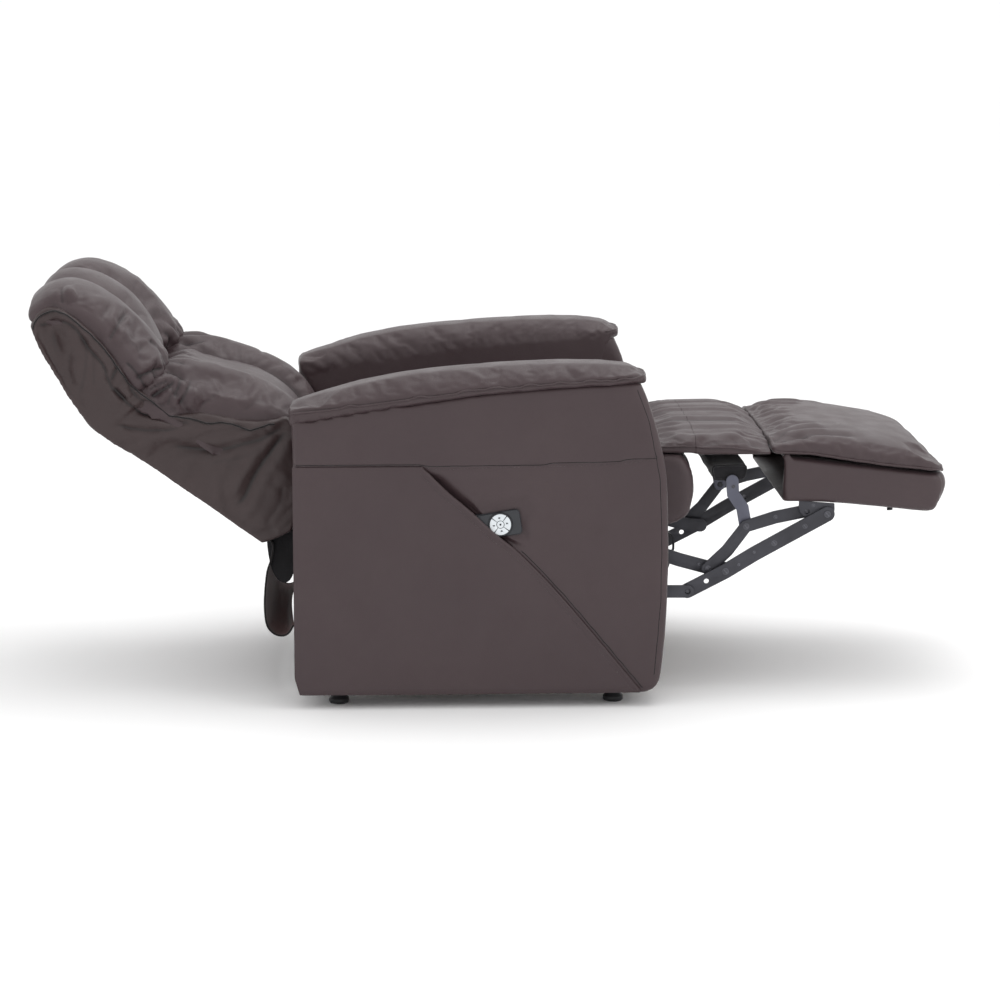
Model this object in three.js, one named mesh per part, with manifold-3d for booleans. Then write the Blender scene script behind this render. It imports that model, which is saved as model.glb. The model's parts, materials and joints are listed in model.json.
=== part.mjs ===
// Power recliner armchair, drawn fully reclined with its footrest out. Millimetres.
//
// The chair is drawn in a side frame: x runs forwards, y runs up and z runs towards the sitter's
// right arm. The last group turns that frame so that +Z is up and the chair faces -Y.
import * as THREE from "three";
import { mergeVertices } from "three/addons/utils/BufferGeometryUtils.js";
import Module from "manifold-3d";

const wasm = await Module();
wasm.setup();

// ---- Driving dimensions -------------------------------------------------------------------
const SIDE_MIDDLE = 204.9; // x of the middle of the chair's length, over the origin
const FOOT_HEIGHT = 25; // underside of the arms above the floor
const ARM_INNER = 278; // half the gap between the arms
const ARM_CORE = 395.5; // outside of the arm's padded core
const ARM_OUTER = 400; // outside of the arm's leather cover
const PAD_OUTER = 404; // the armrest pads stand a little proud
const SKIN_GAP = 0.5; // room between pieces that rest on each other

const BACK_WIDTH = 265; // half width of the back where it passes between the arms
const HEAD_WIDTH = 305; // half width of the headrest
const BACK_FOOT = [-236, 293]; // rear bottom edge of the back
const BACK_LEAN = 54.3; // lean of the back from upright, in degrees
const HEAD_HINGE = [4, 384]; // headrest hinge, in the back's own frame
const HEAD_LEAN = -26; // forward tilt of the headrest against the back, in degrees
const BACK_PIVOT = [75, -212]; // recline pivot, in the back's own frame
const RECLINE_PIVOT = [-20, 230]; // the same pivot in the side frame
const BACK_LEVER = [20, -296]; // torque tube that the recline motor pulls, in the back's frame

// Footrest linkage pivots
const P1 = [518.9, 257]; // seat to drive link
const P2 = [455.8, 189]; // seat to lower link
const Q1 = [646, 225]; // drive link to long link
const Q2 = [574, 188]; // lower link to long link
const Q3 = [614, 228]; // drive link to lift link
const Q4 = [685.5, 309]; // lift link to flap link
const R1 = [838, 334]; // long link to footrest
const R2 = [800, 338]; // lift link to footrest
const FRONT_TUBE = [330, 272]; // cross tube under the front of the seat
const LEVER_TIP = [561.3, 230.4]; // motor pin on the drive tube's lever
const FOOT_MOTOR_Y = 218.7; // centre line of the footrest motor
const RECLINE_MOTOR_Y = 133.3; // centre line of the recline motor

// Each flat link runs in its own plane: distance of its inner face from the middle
const LINK_STEEL = 5;
const PLANE = { hanger: 210.5, drive: 217, flap: 223.5, lift: 230, bracket: 236.5, long: 243, lower: 249.5 };
const DRIVE_TUBE_RADIUS = 11;
const SIDE_PLATE = [256, 262];
const GLIDE_RAIL = [268.5, ARM_INNER - SKIN_GAP];

// Pocket in the right arm and the handset in it
const LIP_TOP = [75, 452];
const LIP_END = [249, 296];
const LIP_BOW = [[203, 320], [168, 362]]; // the lip stands back from the handset, from below to above
const POCKET_DEPTH = 95; // how far the pocket reaches behind its lip
const HANDSET = { at: [182, 342], tilt: 9, outward: 3, length: 140, width: 47, thick: 18 };
const DIAL = { at: 32, radius: 22, hub: 6.5 };

// ---- Materials ----------------------------------------------------------------------------
const finish = (color, roughness, metalness) => () =>
  new THREE.MeshStandardMaterial({ color, roughness, metalness });
const leather = finish("#4b4042", 0.5, 0);
const lining = finish("#3a1f1c", 0.8, 0);
const darkSteel = finish("#26272b", 0.45, 0.8);
const wrap = finish("#1c1c1f", 0.85, 0);
const blackPlastic = finish("#141416", 0.5, 0);
const charcoal = finish("#35363b", 0.45, 0);
const white = finish("#d6dde2", 0.4, 0);
const board = finish("#8a6b48", 0.8, 0);

// ---- Shape helpers ------------------------------------------------------------------------
// A closed outline. Each point is [x, y] or [x, y, ease], where ease rounds off the corner.
function outline(points) {
  const shape = new THREE.Shape();
  const corners = points.map(([x, y, ease = 0]) => ({ at: new THREE.Vector2(x, y), ease }));
  corners.forEach(({ at, ease }, i) => {
    const before = corners[(i + corners.length - 1) % corners.length].at;
    const after = corners[(i + 1) % corners.length].at;
    const reach = (other) => at.clone().lerp(other, Math.min(0.48, ease / at.distanceTo(other)));
    const start = reach(before);
    const end = reach(after);
    if (i === 0) shape.moveTo(start.x, start.y);
    else shape.lineTo(start.x, start.y);
    if (ease > 0) shape.quadraticCurveTo(at.x, at.y, end.x, end.y);
  });
  shape.closePath();
  return shape;
}

// A bar with round ends along a path of points.
function bar(path, half, Kind = THREE.Shape) {
  const points = path.map(([x, y]) => new THREE.Vector2(x, y));
  const last = points.length - 1;
  const heading = points.map((p, i) =>
    points[Math.min(i + 1, last)].clone().sub(points[Math.max(i - 1, 0)]).angle(),
  );
  const beside = (i, turn) => [
    points[i].x + half * Math.cos(heading[i] + turn),
    points[i].y + half * Math.sin(heading[i] + turn),
  ];
  const quarter = Math.PI / 2;
  const shape = new Kind();
  shape.moveTo(...beside(0, -quarter));
  for (let i = 1; i <= last; i++) shape.lineTo(...beside(i, -quarter));
  shape.absarc(...path[last], half, heading[last] - quarter, heading[last] + quarter, false);
  for (let i = last - 1; i >= 0; i--) shape.lineTo(...beside(i, quarter));
  shape.absarc(...path[0], half, heading[0] + quarter, heading[0] + 3 * quarter, false);
  return shape;
}

function circle([x, y], radius, Kind = THREE.Path) {
  return new Kind().absarc(x, y, radius, 0, 2 * Math.PI, false);
}

function withHoles(shape, holes) {
  shape.holes.push(...holes.map(([at, radius]) => circle(at, radius)));
  return shape;
}

// Extrudes a shape from z = from to z = to, with rounded edges where bevel is given.
function slab(shape, from, to, bevel = 0, curveSegments = 5) {
  const geometry = new THREE.ExtrudeGeometry(shape, {
    depth: to - from - 2 * bevel,
    curveSegments,
    bevelEnabled: bevel > 0,
    bevelThickness: bevel,
    bevelSize: bevel,
    bevelOffset: -bevel,
    bevelSegments: 2,
  });
  return geometry.translate(0, 0, from + bevel);
}

// The same on the left side of the chair when side is -1.
function sideSlab(shape, side, [inner, outer], bevel = 0, curveSegments = 5) {
  const [from, to] = side > 0 ? [inner, outer] : [-outer, -inner];
  return slab(shape, from, to, bevel, curveSegments);
}

// A front outline of [z, y] points extruded from x = from to x = to.
const frontSlab = (shape, from, to) => slab(shape, 0, to - from).rotateY(-Math.PI / 2).translate(to, 0, 0);
// A plan outline of [x, z] points extruded from y = from to y = to.
const planSlab = (shape, from, to) => slab(shape, 0, to - from).rotateX(Math.PI / 2).translate(0, to, 0);

// A round bar along z, or along x.
function rodZ([x, y], radius, from, to) {
  return slab(circle([x, y], radius, THREE.Shape), from, to, 0, 12);
}
function rodX([y, z], radius, from, to) {
  return rodZ([0, 0], radius, 0, to - from).rotateY(Math.PI / 2).translate(from, y, z);
}

function solid(geometry) {
  const bare = geometry.clone();
  bare.deleteAttribute("normal");
  bare.deleteAttribute("uv");
  const merged = mergeVertices(bare, 1e-4);
  return new wasm.Manifold(
    new wasm.Mesh({
      numProp: 3,
      vertProperties: merged.attributes.position.array,
      triVerts: new Uint32Array(merged.index.array),
    }),
  );
}

function geometryOf(manifold) {
  const { vertProperties, triVerts } = manifold.getMesh();
  const geometry = new THREE.BufferGeometry();
  geometry.setAttribute("position", new THREE.BufferAttribute(vertProperties, 3));
  geometry.setIndex(new THREE.BufferAttribute(triVerts, 1));
  geometry.computeVertexNormals();
  return geometry;
}

const join = (...parts) => geometryOf(parts.map(solid).reduce((a, b) => a.add(b)));
const common = (...parts) => geometryOf(parts.map(solid).reduce((a, b) => a.intersect(b)));
const cut = (part, ...tools) =>
  geometryOf(tools.map(solid).reduce((a, b) => a.subtract(b), solid(part)));

function piece(name, geometry, material) {
  const mesh = new THREE.Mesh(geometry, material());
  mesh.name = name;
  return mesh;
}

const SIDES = [["right", 1], ["left", -1]];
const bothSides = (make) => SIDES.flatMap(([name, side]) => make(name, side));

// ---- Base: arms, covers, feet, rails --------------------------------------------------------
const armOutline = () =>
  outline([
    [-165, FOOT_HEIGHT, 18], [509, FOOT_HEIGHT, 24], [524, 260, 100], [519, 429, 80],
    [474, 602, 8], [453, 600], [30, 559, 120], [-168, 524],
  ]);

const armPadOutline = () =>
  outline([
    [-170, 527.5, 8], [30, 562.5, 120], [453, 604], [482, 608, 10], [478, 627, 14],
    [400, 642, 60], [215, 637, 100], [31, 617, 100], [-171, 556, 14],
  ]);

// The pocket runs under the cover behind its lip and slopes out again in front of it.
function pocketTool() {
  const along = new THREE.Vector3(LIP_END[0] - LIP_TOP[0], LIP_END[1] - LIP_TOP[1], 0);
  const length = along.length();
  along.normalize();
  const outwards = new THREE.Vector3(0, 0, 1);
  const ahead = outwards.clone().cross(along);
  const mouth = ARM_CORE + 1;
  const hollow = outline([
    [-POCKET_DEPTH, 371.5], [0, 371.5], [62, 378.5], [88, mouth], [-POCKET_DEPTH, mouth],
  ]);
  const frame = new THREE.Matrix4().makeBasis(ahead, outwards, along).setPosition(...LIP_TOP, 0);
  return slab(hollow, 0, length).applyMatrix4(frame);
}

function makeArms() {
  const core = [ARM_INNER, ARM_CORE];
  const skin = [ARM_CORE + SKIN_GAP, ARM_OUTER];
  const rearCover = outline([
    [-165, FOOT_HEIGHT, 18], [473, FOOT_HEIGHT + 12], LIP_END, ...LIP_BOW, LIP_TOP, [-166, 457],
  ]);
  const plainCover = outline([
    [-165, FOOT_HEIGHT, 18], [509, FOOT_HEIGHT, 24], [524, 260, 100], [512, 466], [-166, 457],
  ]);
  return [
    piece("arm_right", cut(sideSlab(armOutline(), 1, core), pocketTool()), leather),
    piece("arm_left", sideSlab(armOutline(), -1, core), leather),
    piece("side_cover_right", sideSlab(rearCover, 1, skin), leather),
    piece("side_cover_left", sideSlab(plainCover, -1, skin), leather),
    ...bothSides((name, side) => [
      piece("arm_pad_" + name, sideSlab(armPadOutline(), side, [ARM_INNER - 5, PAD_OUTER]), leather),
    ]),
  ];
}

function makeBaseFrame() {
  const glide = outline([[-150, 190, 6], [330, 190, 6], [330, 222, 6], [-150, 222, 6]]);
  const reach = ARM_INNER - SKIN_GAP;
  const tube = (x) => outline([[x, 45, 4], [x + 30, 45, 4], [x + 30, 75, 4], [x, 75, 4]]);
  const box = outline([[-85, 76, 6], [-20, 76, 6], [-20, 112, 6], [-85, 112, 6]]);
  const foot = new THREE.LatheGeometry(
    [[0, 0], [17, 0], [19, 3], [19, 9], [15, 13], [12, 24.7], [0, 24.7]].map((p) => new THREE.Vector2(...p)),
    20,
  );
  return [
    ...bothSides((name, side) => [
      piece("glide_rail_" + name, sideSlab(glide, side, GLIDE_RAIL), darkSteel),
      ...[["front", 427], ["rear", -86]].map(([end, x]) =>
        piece(`foot_${end}_${name}`, foot.clone().translate(x, 0, 338 * side), blackPlastic),
      ),
    ]),
    piece("base_tube_front", slab(tube(205), -reach, reach), darkSteel),
    piece("base_tube_rear", slab(tube(-75), -reach, reach), darkSteel),
    piece("control_box", slab(box, -150, 30, 3), blackPlastic),
  ];
}

// ---- Handset ------------------------------------------------------------------------------
// Drawn lying flat: x along its length, y across, z out of its face, from the middle of the face.
function makeHandset() {
  const { at, tilt, outward, length, width, thick } = HANDSET;
  const [dialX, well] = [DIAL.at, 2.2];
  const corner = 9;
  const plate = outline([
    [-length / 2, -width / 2, corner], [length / 2, -width / 2, corner],
    [length / 2, width / 2, corner], [-length / 2, width / 2, corner],
  ]);
  const ring = withHoles(circle([dialX, 0], DIAL.radius, THREE.Shape), [[[dialX, 0], DIAL.radius - 2]]);
  const quadrant = (turn) => {
    const [inner, outer, half] = [DIAL.hub + 1, DIAL.radius - 2.6, Math.PI / 4 - 0.05];
    const shape = new THREE.Shape();
    shape.absarc(dialX, 0, outer, turn - half, turn + half, false);
    shape.absarc(dialX, 0, inner, turn + half, turn - half, true);
    return shape;
  };
  const keyDepth = [-1.2, 1.9];
  const keys = [["back_up", 0], ["legs_down", 1], ["back_down", 2], ["legs_up", 3]];
  const group = new THREE.Group();
  group.position.set(...at, 394.3);
  group.rotation.set(0, 0, THREE.MathUtils.degToRad(tilt));
  const face = new THREE.Group();
  face.rotation.y = THREE.MathUtils.degToRad(-outward);
  face.add(
    piece("handset_case", cut(slab(plate, -thick, 0, 2.5), rodZ([dialX, 0], DIAL.radius + 0.5, -well, 1)), charcoal),
    piece("handset_ring", slab(ring, -well + 0.3, 1.2, 0, 12), white),
    piece("key_stop", slab(circle([dialX, 0], DIAL.hub, THREE.Shape), ...keyDepth, 0, 8), white),
    ...keys.map(([name, turns]) =>
      piece("key_" + name, slab(quadrant((turns * Math.PI) / 2), ...keyDepth, 0, 6), white),
    ),
  );
  group.add(face);
  return group;
}

// ---- Seat: side plates, tubes, deck, cushion, front roll, motors ----------------------------
function makeSeatFrame() {
  const plate = outline([
    [-136, 196, 10], [60, 192], [430, 168, 10], [470, 168, 12], [540, 238, 14], [536, 276, 12],
    [480, 291, 8], [40, 291, 10], [-40, 262], [-136, 234, 10],
  ]);
  const bosses = [[-100, 208], [190, 208]];
  // Hangers on the front tube carry the footrest's drive tube.
  const hanger = withHoles(bar([FRONT_TUBE, [420, 262], P1], 16), [[P1, DRIVE_TUBE_RADIUS + 0.5]]);
  const hangers = [1, -1].map((side) =>
    sideSlab(hanger, side, [PLANE.hanger, PLANE.hanger + LINK_STEEL], 0, 12),
  );
  const [inner, outer] = SIDE_PLATE;
  const reach = inner - SKIN_GAP;
  return [
    ...bothSides((name, side) => {
      const studZ = ([x, y], radius, depth) => {
        const [from, to] = side > 0 ? [inner - depth, inner + 1] : [-inner - 1, -inner + depth];
        return rodZ([x, y], radius, from, to);
      };
      const bossZ = (at) => {
        const [from, to] = side > 0 ? [outer - 1, GLIDE_RAIL[0] - 0.3] : [-GLIDE_RAIL[0] + 0.3, -outer + 1];
        return rodZ(at, 12, from, to);
      };
      const whole = join(
        sideSlab(plate, side, SIDE_PLATE),
        studZ(RECLINE_PIVOT, 8, inner - PLANE.lower),
        studZ(P2, 5, inner - PLANE.lower),
        ...bosses.map(bossZ),
      );
      return [piece("seat_plate_" + name, whole, darkSteel)];
    }),
    piece("seat_tube_front", join(rodZ(FRONT_TUBE, 12, -reach, reach), ...hangers), darkSteel),
    piece("seat_tube_middle", rodZ([60, 277], 12, -reach, reach), darkSteel),
    piece("seat_tube_rear", rodZ([-115, 215], 12, -reach, reach), darkSteel),
  ];
}

function makeSeatCushion() {
  const deck = outline([[-112, 290, 4], [494, 290, 4], [494, 302, 4], [-112, 302, 4]]);
  const side = outline([
    [-116, 303, 12], [496, 303], [496, 440, 10], [520, 457.5], [580, 457.5, 6], [582, 470, 8],
    [480, 476, 60], [250, 452, 80], [60, 416, 40], [-116, 408, 20],
  ]);
  const half = ARM_INNER - 8;
  const plan = outline([
    [-130, -244], [60, -244, 20], [90, -half, 20], [600, -half], [600, half], [90, half, 20],
    [60, 244, 20], [-130, 244],
  ]);
  const roll = outline([
    [501, 318, 8], [540, 318, 14], [572, 336, 14], [582, 400, 40], [562, 450, 18], [520, 453, 14], [501, 436],
  ]);
  return [
    piece("seat_deck", slab(deck, -244, 244), board),
    piece("seat_cushion", common(slab(side, -half, half), planSlab(plan, 250, 500)), leather),
    piece("seat_front_roll", slab(roll, -half + 5, half - 5), leather),
  ];
}

function ringBar(half, wall) {
  const path = [[0, -7], [0, 7]];
  const shape = bar(path, half + wall);
  shape.holes.push(bar(path, half, THREE.Path));
  return shape;
}

// A motor drawn with its rod pointing along +x: the gearbox, then a tube that the rod slides in.
function motor(start, gearbox, tubeEnd, radius, bore) {
  const box = outline([
    [start, -26, 10], [start + gearbox, -26, 8], [start + gearbox, 24, 8], [start, 24, 10],
  ]);
  const tube = rodX([0, 0], radius, start + gearbox - 1, tubeEnd);
  const hollow = rodX([0, 0], bore, start + gearbox + 8, tubeEnd + 1);
  return cut(join(slab(box, -27, 27, 4), tube), hollow);
}

const MOTOR_Z = 60; // each motor sits this far to its side of the middle

function makeMotors() {
  const [eye, rodRadius, bore] = [4, 9, 9.6];
  const footMotor = motor(-92, 130, 430, 15, bore).translate(0, FOOT_MOTOR_Y, -MOTOR_Z);
  const tip = LEVER_TIP[0];
  const footRod = join(
    rodX([FOOT_MOTOR_Y, -MOTOR_Z], rodRadius, 280, tip - 14),
    slab(ringBar(12.5, 4), -eye, eye, 0, 12).translate(tip, FOOT_MOTOR_Y, -MOTOR_Z),
  );
  const pull = 15.8; // x of the back's torque tube
  const reclineMotor = motor(-330, 120, -86, 15, bore).rotateZ(Math.PI).translate(0, RECLINE_MOTOR_Y, MOTOR_Z);
  const reclineRod = join(
    rodX([RECLINE_MOTOR_Y, MOTOR_Z], rodRadius, pull + 19, 190),
    slab(withHoles(circle([pull, RECLINE_MOTOR_Y], 21, THREE.Shape), [[[pull, RECLINE_MOTOR_Y], 15.5]]),
      MOTOR_Z - eye, MOTOR_Z + eye, 0, 12),
  );
  return [
    piece("footrest_motor", footMotor, blackPlastic),
    piece("footrest_motor_rod", footRod, darkSteel),
    piece("recline_motor", reclineMotor, blackPlastic),
    piece("recline_motor_rod", reclineRod, darkSteel),
  ];
}

// ---- Back and headrest ----------------------------------------------------------------------
// Drawn upright: y runs up the back from its rear bottom edge, x runs towards the sitter.
function makeBack() {
  const width = (narrow, wide) =>
    outline([
      [-narrow, -5], [narrow, -5], [narrow, 200, 30], [wide, 290, 40], [wide, 400],
      [-wide, 400], [-wide, 290, 40], [-narrow, 200, 30],
    ]);
  const panel = outline([[0, 0, 8], [90, 0, 4], [90, 356, 4], [3, 380, 4], [0, 374]]);
  const cushion = outline([
    [92, 0, 4], [196, 2, 30], [244, 70, 40], [243, 140, 40], [205, 260, 50], [178, 318, 22], [172, 331, 4], [92, 354, 4],
  ]);
  const bracketPath = [[75, -19.5], BACK_PIVOT, BACK_LEVER];
  const bracket = withHoles(bar(bracketPath, 18), [[BACK_PIVOT, 8.5]]);
  const bracketPlane = [PLANE.lower, PLANE.lower + LINK_STEEL];
  const skirt = outline([
    [10, -3], [0, -26, 8], [-46, -48, 30], [-92, -76, 50], [-128, -104, 30], [-128, -140, 20], [-100, -150, 10],
    [-98, -146, 8], [-124, -137, 16], [-124, -106, 24], [-90, -80, 50], [-44, -52, 30], [4, -29, 6], [14, -3],
  ]);
  const torqueTube = rodZ(BACK_LEVER, 10.5, -PLANE.lower + SKIN_GAP, PLANE.lower - SKIN_GAP);
  const group = new THREE.Group();
  group.position.set(...BACK_FOOT, 0);
  group.rotation.z = THREE.MathUtils.degToRad(BACK_LEAN);
  group.add(
    piece("back_panel", common(slab(panel, -310, 310), frontSlab(width(BACK_WIDTH, 298), -10, 300)), leather),
    piece("lumbar_cushion",
      common(slab(cushion, -310, 310), frontSlab(width(BACK_WIDTH - 2, 300), 60, 300)), leather),
    piece("back_torque_tube", torqueTube, darkSteel),
    piece("rear_skirt", slab(skirt, -240, 240), lining),
    ...bothSides((name, side) => [
      piece("back_bracket_" + name, sideSlab(bracket, side, bracketPlane, 0, 12), darkSteel),
    ]),
    makeHeadrest(),
  );
  return group;
}

function makeHeadrest() {
  const width = outline([
    [-296, -60], [296, -60], [HEAD_WIDTH, 60, 60], [HEAD_WIDTH, 190, 60], [255, 262, 50],
    [-255, 262, 50], [-HEAD_WIDTH, 190, 60], [-HEAD_WIDTH, 60, 60],
  ]);
  const shell = outline([[-2, 3], [-7, 120, 40], [-8, 218, 10], [12, 238, 12], [60, 238], [60, 11], [4, 3]]);
  const cushion = outline([
    [62, 12], [174, 27.5, 8], [168, 60, 40], [158, 140, 40], [125, 212, 40], [90, 238, 24], [62, 247],
  ]);
  const group = new THREE.Group();
  group.position.set(...HEAD_HINGE, 0);
  group.rotation.z = THREE.MathUtils.degToRad(HEAD_LEAN);
  group.add(
    piece("headrest_shell", common(slab(shell, -310, 310), frontSlab(width, -30, 300)), leather),
    piece("headrest_cushion", common(slab(cushion, -310, 310), frontSlab(width, -30, 300)), leather),
  );
  return group;
}

// ---- Footrest linkage -----------------------------------------------------------------------
const pinRadius = 5;
const pinHole = pinRadius + 0.4;

function makeLinks() {
  const plane = (name) => [PLANE[name], PLANE[name] + LINK_STEEL];
  const shapes = {
    drive: bar([P1, [560, 243], Q3, Q1], 13),
    long: withHoles(bar([Q2, Q1, [700, 258], [776, 300], R1], 14), [
      [Q2, pinHole], [[610, 206.5], 5], [Q1, pinHole], [[738, 279], 5], [[796, 311], 4], [R1, pinHole],
    ]),
    lower: withHoles(bar([P2, Q2], 12), [[P2, pinHole], [Q2, pinHole]]),
    lift: withHoles(bar([Q3, [650, 262], Q4, [740, 326], R2], 12), [[Q3, pinHole], [R2, pinHole + 1]]),
    flap: withHoles(bar([Q4, [679, 344], [661, 370], [659, 395]], 12), [[Q4, pinHole]]),
  };
  // A pin runs from its own link's plane through the hole of the link that turns on it.
  const pinned = (geometry, side, pins) =>
    join(geometry, ...pins.map(([at, one, other]) => {
      const from = Math.min(PLANE[one], PLANE[other]) + (PLANE[one] < PLANE[other] ? 1 : 0);
      const to = Math.max(PLANE[one], PLANE[other]) + LINK_STEEL - (PLANE[one] > PLANE[other] ? 1 : 0);
      return side > 0 ? rodZ(at, pinRadius, from, to) : rodZ(at, pinRadius, -to, -from);
    }));
  const pins = {
    drive: [[Q1, "drive", "long"], [Q3, "drive", "lift"]],
    lift: [[Q4, "lift", "flap"]],
  };
  return bothSides((sideName, side) =>
    Object.entries(shapes).map(([name, shape]) => {
      const plate = sideSlab(shape, side, plane(name), 0, 8);
      const whole = pins[name] ? pinned(plate, side, pins[name]) : plate;
      return piece(`${name}_link_${sideName}`, whole, darkSteel);
    }),
  );
}

function makeDriveTube() {
  const reach = PLANE.drive - SKIN_GAP;
  const lever = bar([P1, LEVER_TIP], 10.5);
  const plates = [[-78, -72], [-48, -42]].map(([from, to]) => slab(lever, from, to));
  const pin = rodZ(LEVER_TIP, pinRadius, -77, -43);
  return piece("drive_tube", join(rodZ(P1, DRIVE_TUBE_RADIUS, -reach, reach), ...plates, pin), darkSteel);
}

function makeFlapBoard() {
  const half = PLANE.flap - SKIN_GAP;
  const shape = outline([[623, 398, 9], [682, 400, 10], [687, 425, 10], [621, 423, 10]]);
  return piece("flap_board", slab(shape, -half, half), wrap);
}

// ---- Footrest and middle pads -----------------------------------------------------------------
function makeFootrest() {
  const box = outline([
    [755, 362, 6], [861, 353], [1017, 337], [1046, 338, 16], [1067, 374, 26], [1058, 412, 8],
    [1010, 417], [867, 434], [757, 448, 6],
  ]);
  const pad = outline([
    [729, 452], [757, 450], [867, 436], [1010, 419], [1056, 413.5, 4], [1063, 412, 8], [1015, 445, 40],
    [943, 471, 40], [862, 489, 40], [790, 492, 20], [764, 490, 6],
  ]);
  const bracket = withHoles(
    outline([
      [784, 340, 8], [785, 359], [852, 353.2], [853, 338, 8], [846, 320, 14], [800, 323, 14],
    ]),
    [[R2, pinHole]],
  );
  const plane = [PLANE.bracket, PLANE.bracket + LINK_STEEL];
  const footBracket = (name, side) => {
    const [from, to] = side > 0 ? [plane[1] - 1, plane[1] + 6.5] : [-plane[1] - 6.5, -plane[1] + 1];
    const whole = join(sideSlab(bracket, side, plane), rodZ(R1, pinRadius, from, to));
    return [piece("footrest_bracket_" + name, whole, darkSteel)];
  };
  return [
    piece("footrest_box", slab(box, -252, 252), leather),
    piece("footrest_pad", slab(pad, -260, 260), leather),
    ...bothSides(footBracket),
  ];
}

function makeMiddlePads() {
  const rear = outline([[587, 450, 4], [655.5, 450], [655.5, 453], [638, 486, 8], [588, 485, 10]]);
  const front = outline([[657.5, 450], [725.5, 449], [726.5, 453], [691, 486, 8], [675, 487, 8], [657.5, 453]]);
  return [
    piece("middle_pad_rear", slab(rear, -258, 258), leather),
    piece("middle_pad_front", slab(front, -258, 258), leather),
  ];
}

// ---- The whole chair --------------------------------------------------------------------------
const chair = new THREE.Group();
chair.add(
  ...makeArms(), ...makeBaseFrame(), makeHandset(), ...makeSeatFrame(), ...makeSeatCushion(),
  ...makeMotors(), makeBack(), ...makeLinks(), makeDriveTube(), makeFlapBoard(),
  ...makeFootrest(), ...makeMiddlePads(),
);

// Side frame to world: x forwards becomes -Y, y up becomes +Z, z to the sitter's right becomes -X.
const [forwards, up, sideways] = [[0, -1, 0], [0, 0, 1], [-1, 0, 0]].map((v) => new THREE.Vector3(...v));
chair.setRotationFromMatrix(new THREE.Matrix4().makeBasis(forwards, up, sideways));
chair.position.y = SIDE_MIDDLE;

const recliner = new THREE.Group();
recliner.add(chair);
export default recliner;
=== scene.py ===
import json
import math

import bmesh
import bpy
import numpy as np
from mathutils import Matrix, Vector
from mathutils.bvhtree import BVHTree

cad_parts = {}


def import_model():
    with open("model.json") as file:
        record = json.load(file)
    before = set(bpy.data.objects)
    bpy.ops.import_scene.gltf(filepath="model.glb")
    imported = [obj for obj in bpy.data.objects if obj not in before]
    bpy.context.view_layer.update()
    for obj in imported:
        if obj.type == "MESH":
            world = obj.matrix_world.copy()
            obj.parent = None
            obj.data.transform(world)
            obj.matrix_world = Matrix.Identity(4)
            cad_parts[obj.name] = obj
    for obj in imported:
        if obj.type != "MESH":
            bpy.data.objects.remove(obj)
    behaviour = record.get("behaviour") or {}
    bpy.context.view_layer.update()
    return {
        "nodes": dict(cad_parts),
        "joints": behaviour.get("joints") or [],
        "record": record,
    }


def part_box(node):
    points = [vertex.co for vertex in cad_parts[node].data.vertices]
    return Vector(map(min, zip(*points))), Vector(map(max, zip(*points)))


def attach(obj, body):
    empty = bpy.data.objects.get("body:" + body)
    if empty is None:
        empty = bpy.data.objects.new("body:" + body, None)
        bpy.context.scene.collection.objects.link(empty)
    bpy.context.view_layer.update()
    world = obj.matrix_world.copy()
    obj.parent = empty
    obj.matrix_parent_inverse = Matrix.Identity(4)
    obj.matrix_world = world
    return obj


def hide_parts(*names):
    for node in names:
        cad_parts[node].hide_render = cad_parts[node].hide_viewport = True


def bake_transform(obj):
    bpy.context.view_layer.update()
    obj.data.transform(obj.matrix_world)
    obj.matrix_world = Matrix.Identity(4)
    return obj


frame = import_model()

# Pieces are drawn in millimetres in the chair's side frame: u forwards from the arm's middle, z up
# from the floor, w towards the sitter's right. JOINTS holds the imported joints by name.
JOINTS = {joint["name"]: joint for joint in frame["joints"]}
RECLINE_U = -20
MIDDLE = JOINTS["back_recline"]["pos_m"][1] * 1000 + RECLINE_U
BODY_OF = {
    node: body for body, nodes in frame["record"]["behaviour"]["bodies"].items() for node in nodes
}

ARM_INNER, ARM_FACE = 278, 400
BACK_FOOT, BACK_LEAN = (-236, 293), 54.3
HEAD_FOOT, HEAD_LEAN = (-545.5, 520.3), 28.3
BACK_HALF, HEAD_HALF = 298, 300
KINK_U = -545  # where the headrest turns up from the back


# ---- Places ---------------------------------------------------------------------------------
def world(points):
    p = np.asarray(points, float).reshape(-1, 3)
    return np.stack([-p[:, 2], MIDDLE - p[:, 0], p[:, 1]], 1) / 1000


def side(points):
    p = np.asarray(points, float).reshape(-1, 3) * 1000
    return np.stack([MIDDLE - p[:, 1], p[:, 2], -p[:, 0]], 1)


def spot(u, z, w=0):
    return tuple(world([(u, z, w)])[0])


def leaning(foot, lean):
    """Turns (x towards the sitter, y up the back) into (u, z), and back again."""
    a = math.radians(lean)
    turn = np.array([[math.cos(a), math.sin(a)], [-math.sin(a), math.cos(a)]])

    def out(points):
        return np.asarray(points, float).reshape(-1, 2) @ turn + foot

    def back(points):
        return (np.asarray(points, float).reshape(-1, 2) - foot) @ turn.T

    return out, back


from_back, to_back = leaning(BACK_FOOT, BACK_LEAN)
from_head, to_head = leaning(HEAD_FOOT, HEAD_LEAN)


def ease(t):
    t = np.clip(t, 0, 1)
    return t * t * (3 - 2 * t)


def span(x, start, end):
    """0 at start, 1 at end, smooth between."""
    return ease((np.asarray(x, float) - start) / (end - start))


def bump(x, middle, width):
    return np.exp(-(((np.asarray(x, float) - middle) / width) ** 2))


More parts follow.
